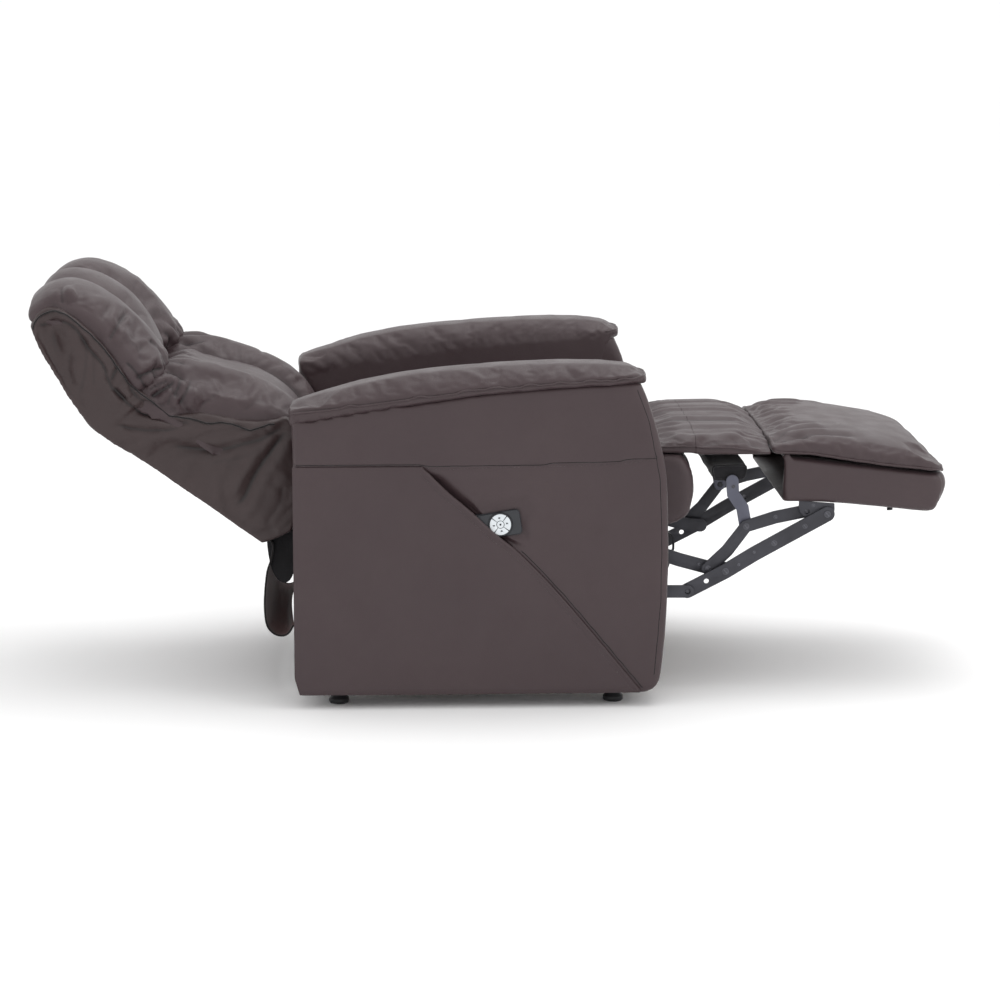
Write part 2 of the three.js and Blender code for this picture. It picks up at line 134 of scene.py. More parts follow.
def wobble(points, wave, seed=0):
    """A smooth pseudo-random field from -1 to 1 with humps about one wave apart."""
    p = np.asarray(points, float)
    total = np.zeros(len(p))
    for k in range(5):
        a = seed * 1.7 + k * 2.4
        way = np.array([math.sin(a), math.cos(a * 1.3), math.sin(a * 0.7 + 1)])[: p.shape[1]]
        total += np.sin(p @ (way / np.linalg.norm(way)) * (2 * math.pi / wave) * (0.7 + 0.15 * k) + a)
    return total / 5


# ---- Lines ----------------------------------------------------------------------------------
def curve(points, count, closed=True):
    """count points on a Catmull-Rom curve through points, evenly spaced. A doubled point is a corner."""
    p = np.asarray(points, float)
    n = len(p)
    line = []
    for i in range(n if closed else n - 1):
        a, b, c, d = (p[(i + k) % n] if closed else p[min(max(i + k, 0), n - 1)] for k in (-1, 0, 1, 2))
        for t in np.linspace(0, 1, 12, endpoint=False):
            line.append(
                0.5 * (2 * b + (c - a) * t + (2 * a - 5 * b + 4 * c - d) * t * t
                       + (3 * b - a - 3 * c + d) * t ** 3)
            )
    line.append(p[0] if closed else p[-1])
    return even(line, count, closed)


def even(line, count, closed=False):
    line = np.asarray(line, float)
    run = np.concatenate([[0], np.cumsum(np.linalg.norm(np.diff(line, axis=0), axis=1))])
    at = np.linspace(0, run[-1], count, endpoint=not closed)
    return np.stack([np.interp(at, run, line[:, k]) for k in range(line.shape[1])], 1)


def track(line):
    """x against y of a line, for reading its height at any u."""
    p = np.asarray(line, float)
    return lambda x: np.interp(x, p[:, 0], p[:, 1])


def along(points, path):
    """Distance of 2D points from a path, how far along it they are from 0 to 1, and their side."""
    p, q = np.asarray(points, float), np.asarray(path, float)
    best = np.full(len(p), 1e9)
    part, hand = np.zeros(len(p)), np.zeros(len(p))
    steps = np.linalg.norm(np.diff(q, axis=0), axis=1)
    run = np.concatenate([[0], np.cumsum(steps)])
    for i, (a, b) in enumerate(zip(q[:-1], q[1:])):
        d = b - a
        t = np.clip((p - a) @ d / max(d @ d, 1e-9), 0, 1)
        off = p - a - t[:, None] * d
        gap = np.linalg.norm(off, axis=1)
        near = gap < best
        best = np.where(near, gap, best)
        part = np.where(near, (run[i] + t * steps[i]) / run[-1], part)
        hand = np.where(near, np.sign(d[0] * off[:, 1] - d[1] * off[:, 0]), hand)
    return best, part, hand


# ---- Meshes ---------------------------------------------------------------------------------
def make(name, verts, faces, material):
    mesh = bpy.data.meshes.new(name)
    mesh.from_pydata(world(verts).tolist(), [], [list(map(int, f)) for f in faces])
    mesh.validate()
    work = bmesh.new()
    work.from_mesh(mesh)
    bmesh.ops.recalc_face_normals(work, faces=work.faces)
    work.to_mesh(mesh)
    work.free()
    piece = bpy.data.objects.new(name, mesh)
    bpy.context.collection.objects.link(piece)
    mesh.materials.append(material)
    smooth(piece)
    return piece


def smooth(piece):
    mesh = piece.data
    mesh.polygons.foreach_set("use_smooth", [True] * len(mesh.polygons))


def rings(sections, closed_ends=True):
    """Vertices and faces of a skin through sections, each an (n, 3) array."""
    n = len(sections[0])
    verts = np.concatenate(sections)
    faces = []
    for i in range(len(sections) - 1):
        for j in range(n):
            k = (j + 1) % n
            faces.append((i * n + j, i * n + k, (i + 1) * n + k, (i + 1) * n + j))
    if closed_ends:
        faces.append(tuple(range(n))[::-1])
        faces.append(tuple((len(sections) - 1) * n + j for j in range(n)))
    return verts, faces


def inset(outline, depth):
    """The outline moved inwards by depth, a number or one for each point."""
    depth = np.broadcast_to(depth, len(outline))[:, None]
    forward, behind = np.roll(outline, -1, 0), np.roll(outline, 1, 0)
    t = forward - behind
    t /= np.maximum(np.linalg.norm(t, axis=1), 1e-9)[:, None]
    area = np.sum(outline[:, 0] * forward[:, 1] - forward[:, 0] * outline[:, 1])
    normal = np.stack([-t[:, 1], t[:, 0]], 1) * (1 if area > 0 else -1)
    return outline + normal * depth


def loft(name, section, start, end, rounding, material, steps=40, place=None):
    """A closed skin through section(w) outlines; both ends close in over a rounding of this radius."""
    turn = np.linspace(0, math.pi / 2, 7)
    run = [(start + rounding * (1 - math.cos(a)), rounding * (1 - math.sin(a))) for a in turn]
    run += [(w, 0) for w in np.linspace(start + rounding, end - rounding, steps)[1:-1]]
    run += [(start + end - w, depth) for w, depth in run[6::-1]]
    sections = []
    for w, depth in run:
        flat = inset(np.asarray(section(w), float), depth)
        sections.append(np.column_stack([flat, np.full(len(flat), w)]))
    verts, faces = rings(sections)
    if place:
        verts = place(verts)
    return make(name, verts, faces, material)


def bake(piece):
    """Applies the piece's modifiers to its mesh."""
    graph = bpy.context.evaluated_depsgraph_get()
    graph.update()
    mesh = bpy.data.meshes.new_from_object(piece.evaluated_get(graph))
    piece.modifiers.clear()
    old, piece.data = piece.data, mesh
    name = old.name
    bpy.data.meshes.remove(old)
    mesh.name = name
    smooth(piece)


def remesh(piece, voxel):
    modifier = piece.modifiers.new("remesh", "REMESH")
    modifier.mode = "VOXEL"
    modifier.voxel_size = voxel / 1000
    bake(piece)


def join(name, *pieces):
    """Joins loose meshes into the first and names the result."""
    work = bmesh.new()
    materials = []
    for piece in pieces:
        start = len(work.faces)
        work.from_mesh(piece.data)
        work.faces.ensure_lookup_table()
        for face in work.faces[start:]:
            material = piece.data.materials[face.material_index]
            if material not in materials:
                materials.append(material)
            face.material_index = materials.index(material)
    mesh = bpy.data.meshes.new(name)
    work.to_mesh(mesh)
    work.free()
    for material in materials:
        mesh.materials.append(material)
    for piece in pieces:
        old = piece.data
        bpy.data.objects.remove(piece)
        if old.users == 0:
            bpy.data.meshes.remove(old)
    whole = bpy.data.objects.new(name, mesh)
    bpy.context.collection.objects.link(whole)
    return whole


class Skin:
    """A piece's vertices in the side frame, for shaping by position."""

    def __init__(self, piece):
        self.piece = piece
        mesh = piece.data
        count = len(mesh.vertices)
        co = np.empty(count * 3)
        mesh.vertices.foreach_get("co", co)
        self.p = side(co)
        normals = np.empty(count * 3)
        mesh.vertices.foreach_get("normal", normals)
        n = normals.reshape(-1, 3)
        self.n = np.stack([-n[:, 1], n[:, 2], -n[:, 0]], 1)
        self.shade = np.zeros(count)
        kept = mesh.attributes.get("crease")
        if kept:
            kept.data.foreach_get("value", self.shade)
        edges = np.empty(len(mesh.edges) * 2, int)
        mesh.edges.foreach_get("vertices", edges)
        self.edges = edges.reshape(-1, 2)

    @property
    def u(self):
        return self.p[:, 0]

    @property
    def z(self):
        return self.p[:, 1]

    @property
    def w(self):
        return self.p[:, 2]

    def push(self, amount):
        self.p = self.p + self.n * np.asarray(amount, float)[:, None]

    def relax(self, rounds):
        a, b = self.edges.T
        count = len(self.p)
        degree = np.maximum(np.bincount(self.edges.ravel(), minlength=count), 1)
        for _ in range(rounds):
            total = np.stack([
                np.bincount(a, self.p[b, k], count) + np.bincount(b, self.p[a, k], count)
                for k in range(3)
            ], 1)
            self.p = self.p + 0.5 * (total / degree[:, None] - self.p)

    def fold(self, path, width, depth, ridge=0.0, where=1.0, flat=None, taper=0.15, lean=0.0):
        """Presses a crease along a path into the skin, with soft ridges beside it.
        flat holds the two coordinates that the path is drawn in, u and z if it isn't given.
        lean makes the ridge on the path's left higher than the one on its right."""
        at = self.p[:, :2] if flat is None else flat
        path = curve(path, 30, closed=False)
        wander = np.stack([wobble(at, width * 9, 3), wobble(at, width * 9, 8)], 1) * width * 0.3
        gap, part, hand = along(at + wander, path)
        ends = ease(part / taper) * ease((1 - part) / taper) if taper else 1.0
        swell = np.exp(-(((gap - 1.7 * width - 4) / (width + 5)) ** 2)) * (1 + lean * hand)
        self.push((ridge * swell - depth * np.exp(-((gap / width) ** 1.35))) * ends * where)
        # Painted shade: a narrow dark line down the crease, kept in the skin's shade and stored as the crease
        # attribute that darkens the leather.
        dark = np.exp(-((gap / (0.22 * width + 1.3)) ** 2)) * min(depth / 6, 1) ** 1.5 * ends * where
        self.shade = np.maximum(self.shade, dark)

    def folds(self, rows, **how):
        for path, width, depth, ridge in rows:
            self.fold(path, width, depth, ridge, **how)

    def store(self):
        mesh = self.piece.data
        mesh.vertices.foreach_set("co", world(self.p).ravel())
        kept = mesh.attributes.get("crease") or mesh.attributes.new("crease", "FLOAT", "POINT")
        kept.data.foreach_set("value", self.shade.astype(np.float32))
        mesh.update()
        return self.piece


def settle(piece, voxel, rounds):
    """Remeshes and relaxes the piece, and gives the skin to shape."""
    remesh(piece, voxel)
    skin = Skin(piece)
    skin.relax(rounds)
    skin.store()
    return Skin(piece)


def simulate(piece, sewn, pressure, cap, slack, frames):
    """Blows the piece up as sewn cloth, with no point moving further than cap."""
    start = Skin(piece)
    group = piece.vertex_groups.new(name="sewn")
    levels = np.round(np.clip(sewn, 0, 1), 1)
    for level in np.unique(levels[levels > 0]):
        group.add(np.nonzero(levels == level)[0].tolist(), float(level), "REPLACE")
    cloth = piece.modifiers.new("cloth", "CLOTH")
    settings = cloth.settings
    settings.quality = 5
    settings.mass = 0.3
    settings.tension_stiffness = settings.compression_stiffness = 15
    settings.shear_stiffness = 8
    settings.bending_stiffness = 0.6
    settings.vertex_group_mass = "sewn"
    settings.pin_stiffness = 4
    settings.use_pressure = True
    settings.uniform_pressure_force = pressure
    settings.shrink_min = -slack
    settings.effector_weights.gravity = 0
    cloth.collision_settings.use_collision = False
    cloth.point_cache.frame_start, cloth.point_cache.frame_end = 1, frames
    scene = bpy.context.scene
    for number in range(1, frames + 1):
        scene.frame_set(number)
    graph = bpy.context.evaluated_depsgraph_get()
    moved = np.empty(len(piece.data.vertices) * 3)
    piece.evaluated_get(graph).data.vertices.foreach_get("co", moved)
    piece.modifiers.clear()
    piece.vertex_groups.clear()
    scene.frame_set(1)
    step = side(moved) - start.p
    length = np.linalg.norm(step, axis=1)
    start.p = start.p + step * np.minimum(1, cap / np.maximum(length, 1e-6))[:, None]
    start.store()


def puff(piece, sewn, pressure, cap, slack, frames):
    """Blows the piece up where sewn isn't 1, subdivides it once, and gives its skin."""
    simulate(piece, sewn, pressure, cap, slack, frames)
    piece.modifiers.new("finer", "SUBSURF").levels = 1
    bake(piece)
    return Skin(piece)


def tube(name, line, radius, material, closed=False, sides=8):
    """A round cord along a line in the side frame."""
    line = np.asarray(line, float)
    if closed:
        ahead, behind = np.roll(line, -1, 0), np.roll(line, 1, 0)
    else:
        ahead, behind = np.vstack([line[1:], line[-1:]]), np.vstack([line[:1], line[:-1]])
    ways = ahead - behind
    ways /= np.maximum(np.linalg.norm(ways, axis=1), 1e-9)[:, None]
    up = np.cross(ways[0], [0.3, 0.2, 1])
    up /= np.linalg.norm(up)
    angles = np.linspace(0, 2 * math.pi, sides, endpoint=False)
    sections = []
    for point, way in zip(line, ways):
        up = up - way * (up @ way)
        up /= max(np.linalg.norm(up), 1e-9)
        across = np.cross(way, up)
        sections.append(np.array([
            point + radius * (math.cos(a) * up + math.sin(a) * across) for a in angles
        ]))
    if closed:
        verts, faces = rings(sections, False)
        n, last = sides, len(sections) - 1
        faces += [(last * n + j, last * n + (j + 1) % n, (j + 1) % n, j) for j in range(n)]
    else:
        verts, faces = rings(sections)
    return make(name, verts, faces, material)


def on_skin(piece, points, lift=0.0):
    """Drops points onto a piece's surface, lifted off it by lift."""
    work = bmesh.new()
    work.from_mesh(piece.data)
    tree = BVHTree.FromBMesh(work)
    landed = []
    for point in world(points):
        place, normal, _, _ = tree.find_nearest(Vector(point))
        landed.append(place + normal * (lift / 1000))
    work.free()
    return side(np.array(landed))


def steady(line, rounds=2):
    """The line with its small jumps evened out, its two ends kept."""
    line = np.asarray(line, float).copy()
    for _ in range(rounds):
        middle = (np.roll(line, 1, 0) + np.roll(line, -1, 0)) / 2
        middle[0], middle[-1] = line[0], line[-1]
        line = (line + middle) / 2
    return line


def stitches(name, line, material, pitch=7.0, length=4.6, thread=0.55):
    """Short thread lumps, one after another, along a line."""
    line = np.asarray(line, float)
    total = np.sum(np.linalg.norm(np.diff(line, axis=0), axis=1))
    count = max(int(total / pitch), 2)
    fine = even(line, count * 8 + 1)
    verts, faces = [], []
    ring = np.linspace(0, 2 * math.pi, 5, endpoint=False)
    for i in range(count):
        a = fine[i * 8]
        b = a + (fine[i * 8 + 5] - a) * (length / pitch / 0.625)
        way = (b - a) / max(np.linalg.norm(b - a), 1e-9)
        up = np.cross(way, [0.2, 0.5, 1])
        up /= np.linalg.norm(up)
        across = np.cross(way, up)
        start = len(verts)
        verts.append(a)
        for t, r in ((0.2, 0.9), (0.8, 0.9)):
            verts += [a + (b - a) * t + thread * r * (math.cos(g) * up + math.sin(g) * across) for g in ring]
        verts.append(b)
        n = len(ring)
        for j in range(n):
            k = (j + 1) % n
            faces.append((start, start + 1 + j, start + 1 + k))
            faces.append((start + 1 + j, start + 1 + n + j, start + 1 + n + k, start + 1 + k))
            faces.append((start + 1 + n + j, start + 1 + 2 * n, start + 1 + n + k))
    return make(name, verts, faces, material)


def dress(piece, body, nodes=()):
    """Puts the piece on a body and hides the CAD nodes that it stands for."""
    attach(piece, body)
    if nodes:
        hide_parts(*nodes)
    return piece


# ---- Materials ------------------------------------------------------------------------------
class Paint:
    """A material's node tree, with short ways to add and link nodes."""

    def __init__(self, name, roughness, specular=0.5, metallic=0.0, sheen=0.0):
        self.material = bpy.data.materials.new(name)
        self.material.use_nodes = True
        self.tree = self.material.node_tree
        self.shader = self.tree.nodes["Principled BSDF"]
        for socket, value in (
            ("Roughness", roughness), ("Specular IOR Level", specular), ("Metallic", metallic),
            ("Sheen Weight", sheen),
        ):
            self.shader.inputs[socket].default_value = value
        self.place = self.tree.nodes.new("ShaderNodeTexCoord").outputs["Object"]

    def node(self, kind, inputs=None, **settings):
        """A new node. inputs holds a value or a linked socket for each of its sockets."""
        made = self.tree.nodes.new(kind)
        for key, value in settings.items():
            setattr(made, key, value)
        for key, value in (inputs or {}).items():
            if isinstance(value, bpy.types.NodeSocket):
                self.tree.links.new(value, made.inputs[key])
            else:
                made.inputs[key].default_value = value
        return made

    def noise(self, scale, detail=3.0, roughness=0.5):
        return self.node("ShaderNodeTexNoise", {
            "Vector": self.place, "Scale": scale, "Detail": detail, "Roughness": roughness,
        }).outputs["Fac"]

    def range(self, value, low, high, to_low, to_high):
        return self.node("ShaderNodeMapRange", {
            "Value": value, "From Min": low, "From Max": high, "To Min": to_low, "To Max": to_high,
        }).outputs["Result"]

    def mix(self, factor, a, b):
        """A blend of two colours, which are sockets 6 and 7 of the node."""
        return self.node("ShaderNodeMix", {"Factor": factor, 6: a, 7: b}, data_type="RGBA").outputs[2]

    def add(self, a, b, how="ADD"):
        return self.node("ShaderNodeMath", {0: a, 1: b}, operation=how).outputs[0]

    def pointiness(self):
        return self.node("ShaderNodeNewGeometry").outputs["Pointiness"]

    def finish(self, color=None, roughness=None, height=None, strength=0.3, depth=0.0004):
        links = self.tree.links
        if color is not None:
            links.new(color, self.shader.inputs["Base Color"])
        if roughness is not None:
            links.new(roughness, self.shader.inputs["Roughness"])
        if height is not None:
            relief = self.node("ShaderNodeBump", {"Height": height, "Strength": strength, "Distance": depth})
            links.new(relief.outputs["Normal"], self.shader.inputs["Normal"])
        return self.material


def rgb(red, green, blue):
    """A colour given as it looks on a screen, from 0 to 255."""
    def linear(v):
        v /= 255
        return v / 12.92 if v <= 0.04045 else ((v + 0.055) / 1.055) ** 2.4
    return (linear(red), linear(green), linear(blue), 1.0)


def leather_paint(name, dark, light, crease):
    """Pebbled hide, paler on its ridges, with painted shade that darkens its hollows and pressed folds."""
    paint = Paint(name, 0.5, specular=0.45, sheen=0.06)
    paint.shader.inputs["Sheen Roughness"].default_value = 0.4
    hide = paint.range(paint.noise(3.0, 3.0), 0.3, 0.7, 0.0, 1.0)
    tone = paint.mix(hide, dark, light)
    fine = paint.range(paint.noise(60.0, 4.0, 0.6), 0.3, 0.7, 0.0, 0.35)
    tone = paint.mix(fine, tone, dark)
    pointy = paint.pointiness()
    # Painted shade: the leather turns towards the crease colour in hollows, where pointiness is low.
    hollow = paint.range(pointy, 0.43, 0.49, 0.6, 0.0)
    tone = paint.mix(hollow, tone, crease)
    # Painted shade: the crease attribute, stored by the pieces along pressed folds, pleat hollows and round the
    # handset, darkens them towards the crease colour.
    sewn = paint.node("ShaderNodeAttribute", attribute_name="crease").outputs["Fac"]
    tone = paint.mix(paint.range(sewn, 0.05, 0.9, 0.0, 0.85), tone, crease)
    ridge = paint.range(pointy, 0.51, 0.56, 0.0, 0.35)
    tone = paint.mix(ridge, tone, light)
    pebble = paint.node("ShaderNodeTexVoronoi", {
        "Vector": paint.place, "Scale": 520.0, "Randomness": 1.0,
    }, feature="DISTANCE_TO_EDGE").outputs["Distance"]
    pebble = paint.range(pebble, 0.0, 0.25, 0.0, 1.0)
    pores = paint.noise(1500.0, 2.0)
    slack = paint.noise(38.0, 3.0, 0.55)
    height = paint.add(pebble, paint.add(pores, 0.35, "MULTIPLY"))
    height = paint.add(height, paint.add(slack, 2.2, "MULTIPLY"))
    rough = paint.range(paint.noise(22.0, 5.0), 0.3, 0.7, 0.40, 0.52)
    return paint.finish(tone, rough, height, 0.42, 0.0003)


def steel_paint(name, base, edge, rough):
    """Painted steel, with edges worn paler."""
    paint = Paint(name, rough, specular=0.5, metallic=0.35)
    cloud = paint.range(paint.noise(9.0, 4.0), 0.35, 0.65, 0.0, 0.5)
    tone = paint.mix(cloud, base, edge)
    worn = paint.range(paint.pointiness(), 0.52, 0.6, 0.0, 0.55)
    tone = paint.mix(worn, tone, edge)
    peel = paint.noise(900.0, 2.0)
    roughness = paint.range(paint.noise(70.0, 4.0), 0.3, 0.7, rough - 0.07, rough + 0.08)
    return paint.finish(tone, roughness, peel, 0.18, 0.0002)


def plastic_paint(name, base, other, rough):
    """Moulded plastic with a fine spark texture."""
    paint = Paint(name, rough, specular=0.5)
    cloud = paint.range(paint.noise(14.0, 3.0), 0.35, 0.65, 0.0, 1.0)
    tone = paint.mix(cloud, base, other)
    spark = paint.node("ShaderNodeTexVoronoi", {"Vector": paint.place, "Scale": 1400.0}).outputs["Distance"]
    roughness = paint.range(paint.noise(120.0, 4.0), 0.3, 0.7, rough - 0.06, rough + 0.08)
    return paint.finish(tone, roughness, spark, 0.16, 0.00015)


def cloth_paint(name, base, other, threads=700.0, rough=0.85):
    """Woven cloth or thread."""
    paint = Paint(name, rough, specular=0.25, sheen=0.25)
    waves = [
        paint.node("ShaderNodeTexWave", {
            "Vector": paint.place, "Scale": threads / 6.3, "Distortion": 1.5, "Detail": 1.0,
            "Detail Scale": 2.0,
        }, bands_direction=way).outputs["Fac"]
        for way in ("X", "Y", "Z")
    ]
    weave = paint.add(paint.add(waves[0], waves[1]), waves[2])
    cloud = paint.range(paint.noise(11.0, 5.0), 0.35, 0.65, 0.0, 1.0)
    tone = paint.mix(cloud, base, other)
    return paint.finish(tone, None, weave, 0.4, 0.0004)


def board_paint(name):
    paint = Paint(name, 0.6, specular=0.3)
    grain = paint.node("ShaderNodeTexWave", {
        "Vector": paint.place, "Scale": 18.0, "Distortion": 6.0, "Detail": 4.0,
    }).outputs["Fac"]
    tone = paint.mix(paint.range(grain, 0.0, 1.0, 0.0, 1.0), rgb(176, 138, 96), rgb(148, 110, 72))
    return paint.finish(tone, None, grain, 0.25, 0.0004)


LEATHER = leather_paint("brown_leather", rgb(57, 43, 46), rgb(64, 50, 52), rgb(20, 13, 15))
# The back cover's leather is a darker copy of the brown leather: painted shade on the back.
SHADED_BACK_LEATHER = leather_paint("brown_back_leather", rgb(50, 37, 37), rgb(60, 46, 46), rgb(17, 11, 12))
LINING = cloth_paint("red_brown_lining", rgb(72, 28, 25), rgb(50, 22, 20))
THREAD = cloth_paint("thread", rgb(74, 63, 64), rgb(58, 49, 51), 2400.0, 0.7)
SHADE = cloth_paint("seam_shade", rgb(20, 15, 16), rgb(27, 20, 22), 2400.0, 0.8)
LINK_STEEL = steel_paint("link_steel_coat", rgb(46, 46, 51), rgb(78, 78, 86), 0.42)
FLAP_STEEL = steel_paint("flap_link_coat", rgb(84, 85, 98), rgb(112, 114, 128), 0.38)
FRAME_STEEL = steel_paint("frame_steel_coat", rgb(26, 27, 30), rgb(62, 62, 68), 0.5)
RIVET_STEEL = steel_paint("rivet_steel", rgb(52, 52, 57), rgb(104, 104, 112), 0.34)
WRAP = cloth_paint("black_wrap", rgb(24, 23, 25), rgb(36, 35, 38))
BLACK_PLASTIC = plastic_paint("black_moulding", rgb(20, 20, 22), rgb(30, 30, 33), 0.5)
HANDSET_PLASTIC = plastic_paint("handset_moulding", rgb(34, 36, 41), rgb(42, 44, 49), 0.42)
KEY_PLASTIC = plastic_paint("white_key_moulding", rgb(214, 220, 224), rgb(228, 232, 236), 0.36)
MARK_INK = plastic_paint("key_mark_ink", rgb(40, 44, 50), rgb(54, 58, 64), 0.5)
LAMP = plastic_paint("lamp_lens", rgb(150, 160, 170), rgb(170, 178, 188), 0.2)
BOARD = board_paint("seat_board")


# ---- Camera, floor and light ----------------------------------------------------------------
CAMERA_PLACE, CAMERA_LENS = (-5.946, 0.2049, 1.4062), 110.9
CAMERA_YAW, CAMERA_PITCH = math.radians(2.195), math.radians(10.341)
FLOOR_HALF, SKY_STRENGTH = 150, 1.06


def make_camera():
    yaw, pitch = CAMERA_YAW, CAMERA_PITCH
    camera = bpy.data.objects.new("camera", bpy.data.cameras.new("camera"))
    bpy.context.collection.objects.link(camera)
    camera.location = CAMERA_PLACE
    aim = Vector((math.cos(pitch) * math.cos(yaw), -math.cos(pitch) * math.sin(yaw), -math.sin(pitch)))
    camera.rotation_euler = aim.to_track_quat("-Z", "Y").to_euler()
    camera.data.sensor_width = 36
    camera.data.lens = CAMERA_LENS
    camera.data.clip_end = 400
    bpy.context.scene.camera = camera


def make_light(name, place, aim, size, power, color=(1, 1, 1)):
    light = bpy.data.lights.new(name, "AREA")
    light.shape = "RECTANGLE"
    light.size, light.size_y = size
    light.energy = power
    light.color = color
    lamp = bpy.data.objects.new(name, light)
    bpy.context.collection.objects.link(lamp)
    lamp.location = place
    lamp.rotation_euler = (Vector(aim) - Vector(place)).to_track_quat("-Z", "Y").to_euler()


def make_studio():
    paint = Paint("studio_floor", 0.9, specular=0.1)
    tone = paint.mix(paint.noise(3.0), rgb(250, 250, 250), rgb(254, 254, 254))
    material = paint.finish(tone, None, paint.noise(40.0), 0.05, 0.0005)
    mesh = bpy.data.meshes.new("floor")
    corners = [(x * FLOOR_HALF, y * FLOOR_HALF, 0) for x, y in ((-1, -1), (1, -1), (1, 1), (-1, 1))]
    mesh.from_pydata(corners, [], [(0, 1, 2, 3)])
    mesh.materials.append(material)
    floor = bpy.data.objects.new("floor", mesh)
    bpy.context.collection.objects.link(floor)
    sky = bpy.data.worlds.new("studio")
    sky.use_nodes = True
    background = sky.node_tree.nodes["Background"]
    background.inputs["Color"].default_value = (1, 1, 1, 1)
    background.inputs["Strength"].default_value = SKY_STRENGTH
    bpy.context.scene.world = sky
    make_light("overhead", (0.3, -0.3, 3.2), (0, 0, 0.3), (2.4, 1.8), 30)
    make_light("front_fill", (-2.6, -3.6, 2.4), (0, -0.3, 0.4), (1.8, 1.8), 22, (1, 0.98, 0.97))
    bpy.context.scene.view_settings.view_transform = "Standard"


# ---- Arms -----------------------------------------------------------------------------------
PAD_BOTTOM = track([(-171, 526), (-97, 540), (30, 561), (176, 583), (322, 595), (453, 603), (480, 603)])
PAD_SEAM = track([(-169, 558), (-97, 564), (31, 580), (176, 597), (322, 609), (431, 614), (480, 623)])
PAD_TOP = track([
    (-171, 562), (-116, 579), (-42, 601), (31, 615), (105, 624), (215, 633), (325, 637), (399, 636),
    (445, 631), (481, 622),
])
PANEL_SEAM = [(-168, 457), (66, 454), (249, 458), (396, 461), (500, 470)]
LIP = curve([(75, 453), (116, 411), (158, 375), (205, 331), (249, 296)], 60, closed=False)
LOWER_SEAM = curve([(249, 296), (295, 249), (342, 196), (410, 114), (476, 33)], 60, closed=False)
FRONT_SEAM = [(466, 596), (488, 540), (508, 429), (513, 317), (512, 204), (500, 60)]
HANDSET_SPOT, HANDSET_TILT = (182, 342), 9.0
HANDSET_HALF = (70, 23.5)
HANDSET_W = 394.3  # the middle of its face, across the chair


def handset_gap(u, z, margin=0.0):
    """Distance outside the handset's outline."""
    a = math.radians(HANDSET_TILT)
    x = (u - HANDSET_SPOT[0]) * math.cos(a) + (z - HANDSET_SPOT[1]) * math.sin(a)
    y = -(u - HANDSET_SPOT[0]) * math.sin(a) + (z - HANDSET_SPOT[1]) * math.cos(a)
    dx = np.maximum(np.abs(x) - HANDSET_HALF[0] - margin, 0)
    dy = np.maximum(np.abs(y) - HANDSET_HALF[1] - margin, 0)
    return np.hypot(dx, dy)


def lip_u(z):
    """How far forwards the rear lower panel reaches at each height."""
    line = np.vstack([LIP, LOWER_SEAM[1:]])[::-1]
    return np.interp(z, line[:, 1], line[:, 0])


def refine_near(piece, chosen):
    """Splits the outer faces where chosen holds, twice, so that small shapes can be pressed in."""
    work = bmesh.new()
    work.from_mesh(piece.data)
    for _ in range(2):
        co = side(np.array([v.co for v in work.verts]))
        inside = chosen(co) & (co[:, 2] > 380)
        work.verts.index_update()
        edges = [e for e in work.edges if inside[e.verts[0].index] and inside[e.verts[1].index]]
        bmesh.ops.subdivide_edges(work, edges=edges, cuts=1, use_grid_fill=True)
    work.to_mesh(piece.data)
    work.free()


def face_hand(skin, hand):
    """Stores a skin that was shaped for the right side, mirrored if it is for the left."""
    skin.p[:, 2] *= hand
    if hand < 0:
        skin.piece.data.flip_normals()
    smooth(skin.store())


